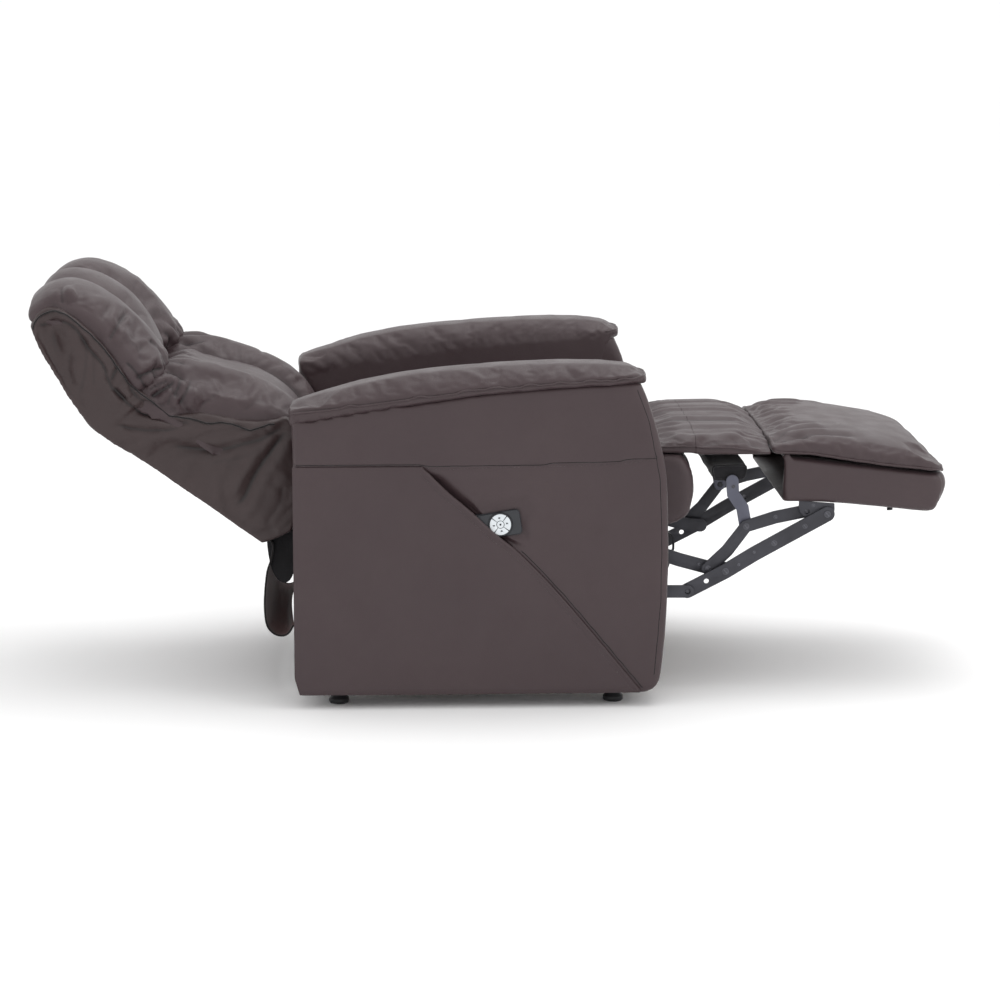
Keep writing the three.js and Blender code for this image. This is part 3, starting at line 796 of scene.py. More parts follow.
def make_arm(name, hand):
    outline = curve([
        (-168, 560), (-166, 452), (-167, 284), (-165, 134), (-163, 60), (-158, 36), (-140, 27), (-90, 25.5),
        (160, 24), (440, 25.5), (488, 28), (506, 42), (513, 70), (521, 160), (524, 250), (524, 317),
        (520, 429), (508, 495), (492, 552), (474, 598), (460, 607), (320, 600), (176, 588), (30, 566),
        (-97, 545), (-158, 536),
    ], 420)
    arm = loft(name, lambda w: outline, ARM_INNER, ARM_FACE, 11, LEATHER, steps=22)
    remesh(arm, 5.5)
    if hand > 0:
        refine_near(arm, lambda p: handset_gap(p[:, 0], p[:, 1]) < 26)
    skin = Skin(arm)
    skin.relax(3)
    outside = span(skin.w, 385, 396)
    u, z = skin.u, skin.z
    # The panels sit a little proud between their seams, and the leather is uneven by a hair.
    top_gap, _, _ = along(skin.p[:, :2], PANEL_SEAM)
    skin.p[:, 2] += outside * (0.9 * wobble(skin.p[:, :2], 260, 4) + 1.2 * np.minimum(top_gap / 60, 1) - 1.8)
    if hand > 0:
        behind = span(lip_u(z) - u, -2, 5) * (1 - span(z, 452, 458)) * span(z, 26, 34)
        skin.p[:, 2] -= outside * 4.2 * behind
        gap = handset_gap(u, z, 1.0)
        dish = 6.5 * (1 - span(gap, 0, 16 + 18 * span(z, 345, 375)))
        well = np.maximum(27 * (1 - span(gap, -2.5, 1)), dish)
        mouth = 12 * (1 - span(np.abs(u - lip_u(z) + 4), 6, 30)) * span(z, 296, 318) * (1 - span(z, 425, 452))
        slope = 2.4 * bump(u, 215, 90) * bump(z, 385, 45)
        skin.p[:, 2] -= outside * np.maximum(well, mouth) + outside * slope * (1 - behind)
        skin.shade = np.maximum(skin.shade, outside * 0.3 * (1 - span(gap, 0, 4)))
    else:
        skin.fold(LOWER_SEAM, 4, 0.9, where=outside)
        skin.fold(LIP, 4, 0.9, where=outside)
    skin.fold(PANEL_SEAM, 4, 1.6, 0.5, where=outside * span(skin.u, -168, -150), taper=0)
    skin.fold(FRONT_SEAM, 5, 1.3, 0.3, where=outside, taper=0)
    # The inner side is softly padded, with long level folds.
    inside = 1 - span(skin.w, 285, 300)
    level = np.sin(skin.z / 17 + 0.6 * wobble(skin.p[:, :2], 300, 2))
    skin.push(inside * (1.5 * level * span(skin.z, 380, 480)))
    skin.relax(1)
    face_hand(skin, hand)
    nodes = ("arm_right",) if hand > 0 else ("arm_left", "side_cover_left")
    return dress(arm, "base", nodes)


def make_lip_panel():
    """The rear lower panel of the right arm, whose rolled front edge is the pocket's lip."""
    rows = np.concatenate([[27.5, 28.6, 31], np.linspace(36, 448, 110), [451, 453.5, 455.2]])
    sections = []
    for z in rows:
        front = float(lip_u(z))
        pocket = float(span(z, 296, 312) * (1 - span(z, 444, 454)))
        edge = 2.0 + 2.2 * pocket
        back = -167.0 if z > 60 else -167 + 0.28 * max(60 - z, 0)
        us = np.concatenate([back + np.array([0, 0.8, 2.5, 7]), np.linspace(back + 14, front - 26, 70),
                             front + np.array([-19, -13, -9, -6.5])])
        flat = np.column_stack([us, np.full(len(us), z)])
        puff_up = 1.0 * np.minimum((us - back) / 60, 1) * min((z - 27) / 60, 1) * min((455.5 - z) / 40, 1)
        sink = -3.2 * (1 - ease((z - 27) / 7)) - 1.6 * (1 - ease((455.5 - z) / 7))
        tuck = -3.4 * (1 - ease((us - back) / 8))
        hem = 2.6 * pocket * np.exp(-((us - (front - 7)) / 9) ** 2)
        groove = -1.1 * np.exp(-((us - (front - 15)) / 2.2) ** 2)
        soft = 0.5 * wobble(flat, 190, 6) + 0.8 * pocket * np.exp(-((us - front + 60) / 30) ** 2)
        surface = ARM_FACE - 0.6 + puff_up + sink + tuck + hem + groove + soft
        line = [(a, z, b) for a, b in zip(us, surface)]
        top = surface[-1]
        for k in range(1, 7):
            a = math.pi * k / 6
            line.append((front - 6.5 + (edge + 1.5) * math.sin(a), z, top - edge * (1 - math.cos(a)) * 0.9))
        inner = top - edge * 1.8
        line += [
            (front - 16, z, inner), (front - 60, z, min(inner, ARM_FACE - 4.6)), (back + 8, z, ARM_FACE - 5.6),
        ]
        sections.append(np.array(line, float))
    verts, faces = rings(sections)
    panel = make("arm_right_rear_panel", verts, faces, LEATHER)
    return dress(panel, "base", ("side_cover_right",))


def mirrored(line, hand):
    line = np.asarray(line, float).copy()
    line[:, 2] *= hand
    return line


def make_arm_seams(name, arm, hand, panel=None):
    """Fine welts, half sunk in the leather and in the dark seam-shade material that paints the shadow in the
    seams, and threads along the arm's seams. The right arm's diagonal threads lie on its panel.
    """
    parts = []

    def lay(path, lift, source):
        line = np.column_stack([even(path, 160), np.full(160, ARM_FACE + 6.0)])
        return steady(on_skin(source, mirrored(line, hand), lift))

    # Painted shadow: a thin dark cord in the seam-shade material, half sunk along a seam.
    def welt(path, lift=-0.35, radius=0.85):
        parts.append(tube("welt", lay(path, lift, arm), radius, SHADE, sides=6))

    def sew(path, lift, source, thread):
        parts.append(stitches("thread", lay(path, lift, source), THREAD, 6.5, 4.4, thread))

    welt(PANEL_SEAM)
    welt(FRONT_SEAM)
    sew(np.asarray(PANEL_SEAM, float) - (0, 3.2), 0.1, arm, 0.4)
    source = panel or arm
    if hand < 0:
        diagonal = np.vstack([LIP, LOWER_SEAM[1:]])
        welt(diagonal)
    else:
        diagonal = LOWER_SEAM
        welt(diagonal + (1.2, 1.2), -0.2, 1.0)
    rows = [diagonal - (4.6, 4.6), diagonal - (9.5, 9.5)]
    if hand > 0:
        rows.append(LIP - (9.6, 10.4))
    for row in rows:
        sew(row, 0.15, source, 0.45)
    seams = join(name, *parts)
    smooth(seams)
    return dress(seams, "base")


def make_arm_pad(name, hand, nodes):
    """The crowned pad on top of the arm, lofted along its length."""
    inner, outer = 274.5, 402.5
    middle, half = (inner + outer) / 2, (outer - inner) / 2
    angles = np.linspace(0, 2 * math.pi, 72, endpoint=False)
    sections = []
    stations = np.concatenate([
        -171 + 10 * (1 - np.cos(np.linspace(0, math.pi / 2, 6))), np.linspace(-155, 440, 70),
        444 + 37 * np.sin(np.linspace(0, math.pi / 2, 10)),
    ])
    for u in stations:
        nose = math.sqrt(max(1 - ((u - 440) / 42.5) ** 2, 0)) if u > 440 else 1.0
        tail = math.sqrt(max(1 - ((-161 - u) / 10.5) ** 2, 0)) if u < -161 else 1.0
        low, seam, top = float(PAD_BOTTOM(u)), float(PAD_SEAM(u)), float(PAD_TOP(u))
        width = half * (0.62 + 0.38 * nose) * (0.9 + 0.1 * tail)
        ring = []
        for a in angles:
            c, s = math.cos(a), math.sin(a)
            x = math.copysign(abs(c) ** 0.55, c) * width
            if s >= 0:
                zed = seam + (top - seam) * s ** 0.85 * (0.35 + 0.65 * min(nose, tail))
            else:
                reach = span(u, -171, -120) * (1 - span(u, 440, 470))
                drape = 95 * max(-c, 0) ** 0.25 * reach if c < -0.2 else 0
                zed = seam - (seam - low + drape) * abs(s) ** (0.45 if c > 0 else 0.25)
            ring.append((u, zed, middle + x))
        sections.append(np.array(ring))
    verts, faces = rings(sections)
    pad = make(name, verts, faces, LEATHER)
    skin = settle(pad, 5, 4)
    seam = np.abs(skin.z - PAD_SEAM(skin.u)) < 4
    edge = (skin.w > 380) | (skin.u > 455)
    bottom = (skin.z < PAD_BOTTOM(skin.u) + 5) | (skin.w < 300) & (skin.z < PAD_SEAM(skin.u) - 30)
    skin = puff(pad, np.where((seam & edge) | bottom, 1.0, 0.0), 2.2, 5, 0.02, 12)
    rim = skin.z - PAD_SEAM(skin.u)
    sideways = np.maximum(span(skin.w, 392, 400), span(skin.u, 462, 476))
    skin.push(sideways * (-2.6 * np.exp(-(rim / 2.6) ** 2)))
    band = sideways * np.exp(-((rim + 11) / 8) ** 2)
    slant = np.sin((skin.u + 1.1 * skin.z) / 13 + 2.4 * wobble(skin.p[:, :2], 150, 5))
    active = 0.35 + bump(skin.u, 380, 90) + 0.7 * bump(skin.u, -40, 70)
    skin.push(band * active * 0.9 * slant)
    over = span(rim, 4, 16) * sideways
    skin.push(over * 0.5 * slant * (0.2 + bump(skin.u, 360, 80)))
    nose = span(skin.u, 448, 478)
    skin.push(nose * 1.3 * np.sin(skin.w / 4.2 + skin.z / 6) * bump(rim, -4, 13))
    for start, end, deep in (
        ((330, 640), (352, 612), 1.6), ((-60, 600), (-92, 566), 1.3), ((410, 634), (430, 612), 1.1),
    ):
        skin.fold([start, end], 5, deep, 0.9, where=span(skin.w, 345, 392))
    skin.push(0.6 * wobble(skin.p, 160, 9) * (1 - nose))
    skin.relax(1)
    face_hand(skin, hand)
    dress(pad, "base", nodes)
    us = np.linspace(-166, 452, 140)
    outside = np.column_stack([us, PAD_SEAM(us), np.full(140, 406.0)])
    turn = np.linspace(0, math.pi, 40)
    ahead = np.column_stack([
        452 + 34 * np.sin(turn), PAD_SEAM(452 + 26 * np.sin(turn)), middle + 66 * np.cos(turn),
    ])
    line = mirrored(np.vstack([outside, ahead[1:-1]]), hand)
    cord = tube(name + "_piping", steady(on_skin(pad, line, 0.6), 3), 1.7, LEATHER)
    dress(cord, "base")


# ---- Back -----------------------------------------------------------------------------------
# The seam down the side of the back, between its flat side panel and the cushions, in (u, z).
BACK_SEAM = [
    (-654, 712), (-637, 737), (-617, 745), (-587, 745), (-554, 721), (-530, 698), (-511, 680), (-486, 646),
    (-477, 628), (-458, 610), (-438, 583), (-409, 559), (-385, 546), (-330, 542), (-261, 528), (-207, 527),
    (-180, 536),
]
BAND_SEAM = [
    (-648, 701), (-623, 707), (-595, 714), (-571, 707), (-559, 696), (-545, 671), (-528, 651), (-516, 636),
    (-507, 611), (-498, 591), (-478, 568), (-449, 543), (-410, 527), (-366, 516),
]


def back_width(y):
    """Half the back's width at a height up the back."""
    return 264 + 33 * span(y, 258, 345)


def head_width(y):
    """Half the head's width at a height up the head."""
    return 296 + 9 * span(y, 0, 60) - 46 * span(y, 185, 262)


def narrowing(to_local, width, less, full):
    """Scales a skin of half width full to the width that each height has, less a little."""
    def place(verts):
        verts[:, 2] *= (width(to_local(verts[:, :2])[:, 1]) - less) / full
        return verts
    return place


def over_back_and_head(piece, *nodes):
    """Hides the CAD nodes that a cover over the back and the head stands for, and bakes its placement into its
    mesh.
    """
    near, far = from_back([(40, 345)])[0], from_head([(40, 45)])[0]
    if nodes:
        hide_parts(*nodes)
    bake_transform(piece)


def make_back_cover():
    lower_seam = to_back(curve(BACK_SEAM, 200, closed=False))
    lower_seam = lower_seam[(lower_seam[:, 1] < 330) & (lower_seam[:, 1] > 60)]
    lower_seam = lower_seam[np.argsort(lower_seam[:, 1])]

    def lower(w):
        rise = float(span(abs(w), 236, 266))
        hang = float(span(abs(w), 272, 284))
        ys = np.linspace(378, 6, 44)
        wall = np.interp(ys, lower_seam[:, 1], lower_seam[:, 0]) - 3
        wall -= np.maximum(lower_seam[0, 1] - ys, 0) * 0.32
        front = 84 + rise * (np.maximum(wall, 84) - 84)
        line = [(-1, -8), (0, 200), (0, 378), (30, 392), (70, 392)] + list(zip(front, ys)) + [
            (52, -4 - 38 * hang), (20, -8 - 16 * hang),
        ]
        return from_back(even(line + [line[0]], 260, True))

    def upper(w):
        rise = float(span(abs(w), 248, 272))
        ys = np.linspace(-8, 214, 34)
        wall = np.interp(ys, [0, 44, 80, 123, 149, 178, 212, 232], [114, 109, 106, 99, 94, 83, 65, 34])
        front = 58 + rise * (np.maximum(wall, 58) - 58)
        line = [(-2, -6), (50, -20)] + list(zip(front, ys)) + [
            (40, 230), (14, 227), (-5, 211), (-8, 150), (-5, 60),
        ]
        return from_head(even(line + [line[0]], 240, True))

    narrow = narrowing(to_back, back_width, 0, BACK_HALF)
    narrow_head = narrowing(to_head, head_width, 0, HEAD_HALF)
    low = loft("low", lower, -299, 299, 6, SHADED_BACK_LEATHER, 70, narrow)
    high = loft("high", upper, -301, 301, 6, SHADED_BACK_LEATHER, 70, narrow_head)
    cover = join("back_cover", low, high)
    skin = settle(cover, 5.5, 2)
    flank = span(np.abs(skin.n[:, 2]), 0.45, 0.85)
    seam_gap, _, _ = along(skin.p[:, :2], BACK_SEAM)
    skin.push(flank * 3.0 * np.minimum(seam_gap / 50, 1))
    skin.store()
    sewn = np.where((np.abs(skin.n[:, 2]) < 0.4) | (seam_gap < 9), 1.0, 0.0)
    skin = puff(cover, sewn, 0.8, 3, 0.02, 10)
    # Folds only on the two flanks, and not where they meet the rear face, of the back and of the head.
    flank = span(np.abs(skin.n[:, 2]), 0.4, 0.8)
    on_back = skin.u > KINK_U
    flank *= np.where(on_back, span(to_back(skin.p[:, :2])[:, 0], 6, 34), 1)
    flank *= np.where(on_back, 1, span(to_head(skin.p[:, :2])[:, 0], 2, 26))
    skin.fold(BAND_SEAM, 3.5, 4.5, 2.0, where=flank, taper=0.04)
    skin.folds([
        # The head's side: soft upright folds below the band.
        ([(-610, 699), (-604, 661), (-611, 627)], 12, 2.6, 2.0),
        ([(-574, 656), (-577, 626), (-572, 590)], 9, 1.8, 1.4),
        ([(-554, 698), (-544, 661), (-548, 611), (-562, 576)], 10, 2.8, 2.0),
        ([(-533, 671), (-530, 631), (-534, 591)], 9, 2.2, 1.8),
        # The kink: creases that gather where the seam turns.
        ([(-477, 718), (-490, 696), (-500, 673)], 4, 6.0, 3.0),
        ([(-511, 698), (-505, 672), (-486, 651)], 3.5, 5.0, 2.4),
        ([(-474, 643), (-489, 626), (-501, 603)], 3.5, 5.0, 2.4),
        ([(-495, 593), (-485, 581), (-473, 566)], 4, 6.0, 2.6),
        ([(-470, 596), (-452, 572), (-424, 556)], 4, 3.4, 2.2),
        # Below the bolster: long creases and the folds that fan out from the arm.
        ([(-494, 521), (-460, 512), (-410, 508), (-374, 513)], 5, 4.0, 2.6),
        ([(-440, 545), (-390, 525), (-355, 520)], 4, 3.6, 2.2),
        ([(-400, 477), (-337, 468), (-287, 473), (-237, 484), (-207, 500), (-176, 514)], 8, 5.0, 4.4),
        ([(-284, 360), (-261, 378), (-241, 418), (-218, 456), (-192, 488), (-176, 504)], 9, 5.5, 4.8),
        ([(-187, 405), (-191, 375), (-207, 342), (-222, 322)], 9, 2.4, 2.0),
        ([(-330, 440), (-270, 452), (-215, 482)], 15, 2.2, 2.4),
    ], where=flank, lean=0.25)
    skin.push(flank * (0.9 * wobble(skin.p[:, :2], 90, 3) + 0.8 * wobble(skin.p, 160, 5)))
    # Across the back of the chair the leather hangs in a few shallow waves.
    rear = np.clip(-(skin.n[:, 0]), 0, 1) * (1 - flank)
    skin.push(rear * (1.6 * np.sin(skin.w / 60 + wobble(skin.p, 300, 7)) + 1.0 * wobble(skin.p, 110, 2)))
    skin.fold(BACK_SEAM, 3.5, 4.5, 0.8, where=flank, taper=0)
    skin.relax(1)
    skin.store()
    over_back_and_head(cover, "back_panel", "headrest_shell")
    # Painted shadow in the seam lines: slightly raised cords in the dark seam-shade material along the side
    # seam and the band seam.
    cords = []
    for path, radius in ((BACK_SEAM, 1.7), (BAND_SEAM, 1.1)):
        line = curve(path, 120, closed=False)
        for hand in (1, -1):
            placed = on_skin(cover, np.column_stack([line, np.full(120, 330.0 * hand)]), 0.6)
            cords.append(tube("cord", steady(placed, 2), radius, SHADE))
    seams = join("back_cover_seams", *cords)
    smooth(seams)
    over_back_and_head(seams)


def crown(w, groove, middle, edge, dip, drop):
    """How deep a cushion's front lies below its crest: dip at the grooves, drop at its outer edge."""
    a = abs(w)
    if a > middle:
        t = (a - middle) / (edge - middle)
        return drop * (1 - (1 - min(t, 1) ** 2.5) ** 0.5)
    if a > groove:
        return dip * ((middle - a) / (middle - groove)) ** 2.4
    return dip * (a / groove) ** 2.4


def make_lumbar():
    crest = curve([
        (88, 4), (88, 4), (150, -2), (196, 14), (226, 50), (239, 92), (241, 134), (236, 165), (226, 203),
        (208, 258), (192, 292), (178, 314), (168, 327), (150, 338), (100, 352), (80, 352), (80, 352),
    ], 200)
    hollow = curve([
        (88, 4), (88, 4), (140, -2), (176, 14), (202, 50), (216, 92), (219, 134), (212, 172), (196, 214),
        (178, 260), (168, 290), (158, 314), (150, 327), (134, 338), (100, 352), (80, 352), (80, 352),
    ], 200)

    def section(w):
        lobe = float(span(abs(w), 90, 190))
        flat = hollow + (crest - hollow) * lobe
        y = flat[:, 1]
        seam = np.interp(y, [60, 105, 183, 250, 325, 360], [214, 212, 167, 137, 112, 106])
        depth = crown(w, 120, 215, 299, 9, 1.0) if abs(w) <= 215 else 0
        flat = inset(flat, depth * span(flat[:, 0], 90, 110))
        if abs(w) > 215:
            t = min((abs(w) - 215) / 83, 1)
            fall = 1 - (1 - t ** 2.4) ** 0.55
            flat = flat.copy()
            over = np.maximum(flat[:, 0] - seam, 0)
            flat[:, 0] -= over * fall
        return from_back(flat)

    narrow = narrowing(to_back, back_width, 3, BACK_HALF)
    pad = loft("lumbar_cushion_cover", section, -BACK_HALF, BACK_HALF, 5, LEATHER, 90, narrow)
    skin = settle(pad, 6, 8)
    local = to_back(skin.p[:, :2])
    a = np.abs(skin.w)
    edge = a > 286 - 34 * (1 - span(local[:, 1], 196, 285))
    sewn = np.where((local[:, 0] < 96) | edge | (np.abs(a - 120) < 5) & (local[:, 1] > 40), 1.0, 0.0)
    skin = puff(pad, sewn, 3.2, 13, 0.05, 18)
    local = to_back(skin.p[:, :2])
    a = np.abs(skin.w)
    front = span(local[:, 0], 110, 160)
    flat = np.column_stack([a, local[:, 1]])
    skin.fold([(124, 20), (122, 120), (118, 230), (116, 335)], 7, 4, 1.5, where=front, flat=flat, taper=0)
    gathers = (
        (150, 318), (185, 322), (214, 318), (244, 316), (272, 306), (110, 322), (60, 324), (15, 322),
    )
    for k, (x, y) in enumerate(gathers):
        long = 36 + 14 * math.sin(k * 2.3)
        path = [(x, y + 14), (x - 6 + 4 * k % 9, y - long * 0.5), (x + 5, y - long)]
        skin.fold(path, 5.5, 4.2, 2.4, where=front, flat=flat, taper=0.3)
    side_face = span(a, 225, 262)
    skin.folds([
        ([(-431, 570), (-409, 582), (-386, 596)], 5, 6.5, 3.4),
        ([(-388, 622), (-376, 605), (-379, 588), (-389, 566)], 5, 5.0, 3.2),
        ([(-364, 624), (-357, 600), (-364, 578), (-382, 550)], 6, 5.0, 3.4),
        ([(-433, 583), (-416, 592), (-396, 601)], 4, 4.5, 2.6),
        ([(-343, 550), (-315, 570), (-285, 590)], 9, 2.6, 2.2),
        ([(-400, 552), (-392, 575)], 5, 3.5, 2.4),
        ([(-262, 540), (-236, 556), (-205, 560)], 8, 2.6, 2.0),
        ([(-240, 600), (-206, 584), (-186, 556)], 8, 3.2, 2.2),
    ], where=side_face, lean=0.3)
    broad = 1.6 * wobble(skin.p, 85, 6) * (0.4 + 0.6 * side_face)
    skin.push(broad + 0.8 * wobble(skin.p, 36, 11) * side_face)
    skin.relax(1)
    skin.store()
    dress(pad, "back", ("lumbar_cushion",))
    return pad


def make_head():
    crest = curve([
        (50, 14), (50, 14), (110, 12), (162, 14), (174, 26), (170, 50), (163, 99), (149, 145), (135, 180),
        (114, 217), (86, 243), (50, 253), (16, 243), (0, 226), (-2, 214), (20, 208), (50, 190), (50, 190),
    ], 220)
    hollow = curve([
        (50, 14), (50, 14), (90, 12), (138, 16), (150, 30), (154, 61), (154, 103), (146, 150), (131, 187),
        (110, 221), (80, 246), (46, 254), (16, 243), (0, 226), (-2, 214), (20, 208), (50, 190), (50, 190),
    ], 220)
    base = np.array([0 if y < 205 and x < 62 or y < 13 and x < 120 else 1 for x, y in crest], float)
    base = np.convolve(np.concatenate([base[-6:], base, base[:6]]), np.ones(13) / 13, "valid")

    def section(w):
        lobe = float(span(abs(w), 60, 150))
        flat = hollow + (crest - hollow) * lobe
        if abs(w) <= 200:
            return from_head(inset(flat, crown(w, 100, 200, 300, 24, 0) * base))
        t = min((abs(w) - 200) / 100, 1)
        fall = 1 - (1 - t ** 2.5) ** 0.5
        y = flat[:, 1]
        seam = np.interp(y, [0, 44, 80, 123, 149, 178, 212, 232], [116, 112, 109, 102, 97, 86, 66, 38])
        flat = flat.copy()
        over = np.maximum(flat[:, 0] - seam, 0) * (y < 232)
        rise = np.maximum(y - 228, 0) * (flat[:, 0] < 100)
        flat[:, 0] -= over * fall
        flat[:, 1] -= rise * fall
        return from_head(flat)

    narrow = narrowing(to_head, head_width, 2, HEAD_HALF)
    pad = loft("headrest_cushion_cover", section, -HEAD_HALF, HEAD_HALF, 5, LEATHER, 110, narrow)
    skin = settle(pad, 6, 6)
    local = to_head(skin.p[:, :2])
    a = np.abs(skin.w)
    sewn = np.where((local[:, 0] < 58) & (local[:, 1] < 205) | (np.abs(a - 100) < 4) | (a > 288), 1.0, 0.0)
    skin = puff(pad, sewn, 3.4, 12, 0.05, 18)
    local = to_head(skin.p[:, :2])
    a = np.abs(skin.w)
    flat = np.column_stack([a, local[:, 1]])
    front = span(local[:, 0], 20, 60)
    skin.fold([(104, 0), (101, 120), (98, 250)], 5, 6, 1.5, where=front, flat=flat, taper=0)
    for k in range(7):
        x = 128 + 24 * k + 6 * math.sin(k * 2.1)
        long = 44 + 12 * math.sin(k * 1.9)
        skin.fold([(x, 8), (x + 5, 30), (x - 4, 12 + long)], 5.5, 4.4, 2.2, where=front, flat=flat, taper=0.3)
    side_face = span(a, 215, 250)
    skin.folds([
        ([(-593, 772), (-587, 744)], 5, 2.8, 2.0),
        ([(-470, 738), (-480, 718), (-492, 696), (-506, 676)], 6, 4.0, 3.4),
        ([(-434, 672), (-420, 658), (-409, 646)], 5, 6.5, 3.0),
        ([(-458, 606), (-430, 618), (-404, 622)], 5, 6.0, 3.2),
        ([(-412, 652), (-402, 635), (-384, 622)], 5, 6.0, 3.0),
        ([(-436, 581), (-448, 610), (-474, 640)], 5, 5.0, 3.0),
        ([(-470, 680), (-450, 660), (-446, 636)], 11, 2.2, 2.0),
        ([(-520, 716), (-506, 736), (-500, 752)], 11, 1.6, 1.4),
    ], where=side_face, lean=0.3)
    broad = 1.5 * wobble(skin.p, 80, 4) * (0.4 + 0.6 * side_face)
    skin.push(broad + 0.8 * wobble(skin.p, 34, 12) * side_face)
    skin.relax(1)
    skin.store()
    dress(pad, "headrest", ("headrest_cushion",))
    return pad


# ---- Seat -----------------------------------------------------------------------------------
def pleats(u, w):
    """The lengthwise pleats over the seat's front edge and the middle pad."""
    drift = w + 7 * np.sin(u / 41 + w / 70)
    rows = np.sin(drift / 10.5 + 1.6 * np.sin(w / 61)) + 0.5 * np.sin(drift / 6.1 + 2)
    return rows * (0.55 + 0.45 * np.sin(w / 83 + 1) ** 2)


def make_seat():
    half = 268
    body = curve([
        (-114, 304), (-114, 304), (200, 303.5), (494, 303.5), (494, 303.5), (498, 380), (500, 430), (506, 452),
        (507, 466), (500, 476), (440, 474), (330, 462), (200, 446), (60, 420),
        (-60, 412), (-106, 405), (-118, 380), (-116, 330),
    ], 300)

    def narrow(verts):
        """The rear of the cushion leaves room for the back."""
        verts[:, 2] *= 1 - 0.1 * (1 - span(verts[:, 0], 58, 96))
        return verts

    pad = loft("seat_cushion_cover", lambda w: body, -half, half, 20, LEATHER, 50, narrow)
    skin = settle(pad, 7, 5)
    edge = (skin.z < 330) | (np.abs(skin.w) > half - 14) | (skin.u > 488)
    seam = (np.abs(skin.u - 330) < 5) & (skin.z > 420)
    skin = puff(pad, np.where(edge | seam, 1.0, 0.0), 2.4, 10, 0.03, 14)
    up = span(skin.n[:, 1], 0.3, 0.8)
    flat = skin.p[:, [0, 2]]
    skin.fold([(330, -270), (334, 0), (330, 270)], 6, 5, 1.6, where=up, flat=flat, taper=0)
    front = span(skin.u, 440, 500)
    skin.push(up * front * 1.6 * pleats(skin.u, skin.w))
    skin.push(up * (1 - front) * (2.0 * wobble(skin.p, 120, 3) + 1.0 * wobble(skin.p, 50, 9)))
    skin.relax(1)
    skin.store()
    dress(pad, "seat", ("seat_cushion",))
    roll_line = curve([
        (502, 322), (512, 319), (536, 318), (556, 326), (574, 338), (579, 362), (581, 398), (576, 424),
        (567, 441), (556, 451), (530, 452.5), (508, 446), (502, 430), (501, 370),
    ], 160)
    roll = loft("seat_front_roll_cover", lambda w: roll_line, -264, 264, 12, LEATHER, 40)
    skin = settle(roll, 5, 4)
    ends = np.abs(skin.w) > 256
    skin = puff(roll, np.where(ends | (skin.u < 512), 1.0, 0.0), 2.0, 5, 0.02, 10)
    skin.push(0.9 * wobble(skin.p, 80, 5))
    skin.fold([(514, 452), (560, 446), (576, 420)], 4, 1.2, 0.8, where=span(np.abs(skin.w), 250, 260))
    skin.store()
    dress(roll, "seat", ("seat_front_roll",))


FRONT_TOP = track([
    (496, 470), (508, 478), (530, 486), (560, 489), (655, 490.5), (690, 488), (712, 482), (727, 473),
    (745, 462),
])
FRONT_RIM = track([(500, 468), (578, 467.5), (655, 463), (712, 455), (727, 453.5), (745, 452)])


def keep_between(name, piece, start, end):
    """A copy of a piece with only what lies between two places along the chair, its cut ends closed."""
    mesh = piece.data.copy()
    work = bmesh.new()
    work.from_mesh(mesh)
    for u, way in ((start, 1), (end, -1)):
        whole = work.verts[:] + work.edges[:] + work.faces[:]
        bmesh.ops.bisect_plane(
            work, geom=whole, plane_co=spot(u, 0), plane_no=(0, way, 0), clear_outer=True,
        )
        rim = [e for e in work.edges if e.is_boundary]
        bmesh.ops.holes_fill(work, edges=rim, sides=0)
    work.to_mesh(mesh)
    work.free()
    mesh.name = name
    part = bpy.data.objects.new(name, mesh)
    bpy.context.collection.objects.link(part)
    return part


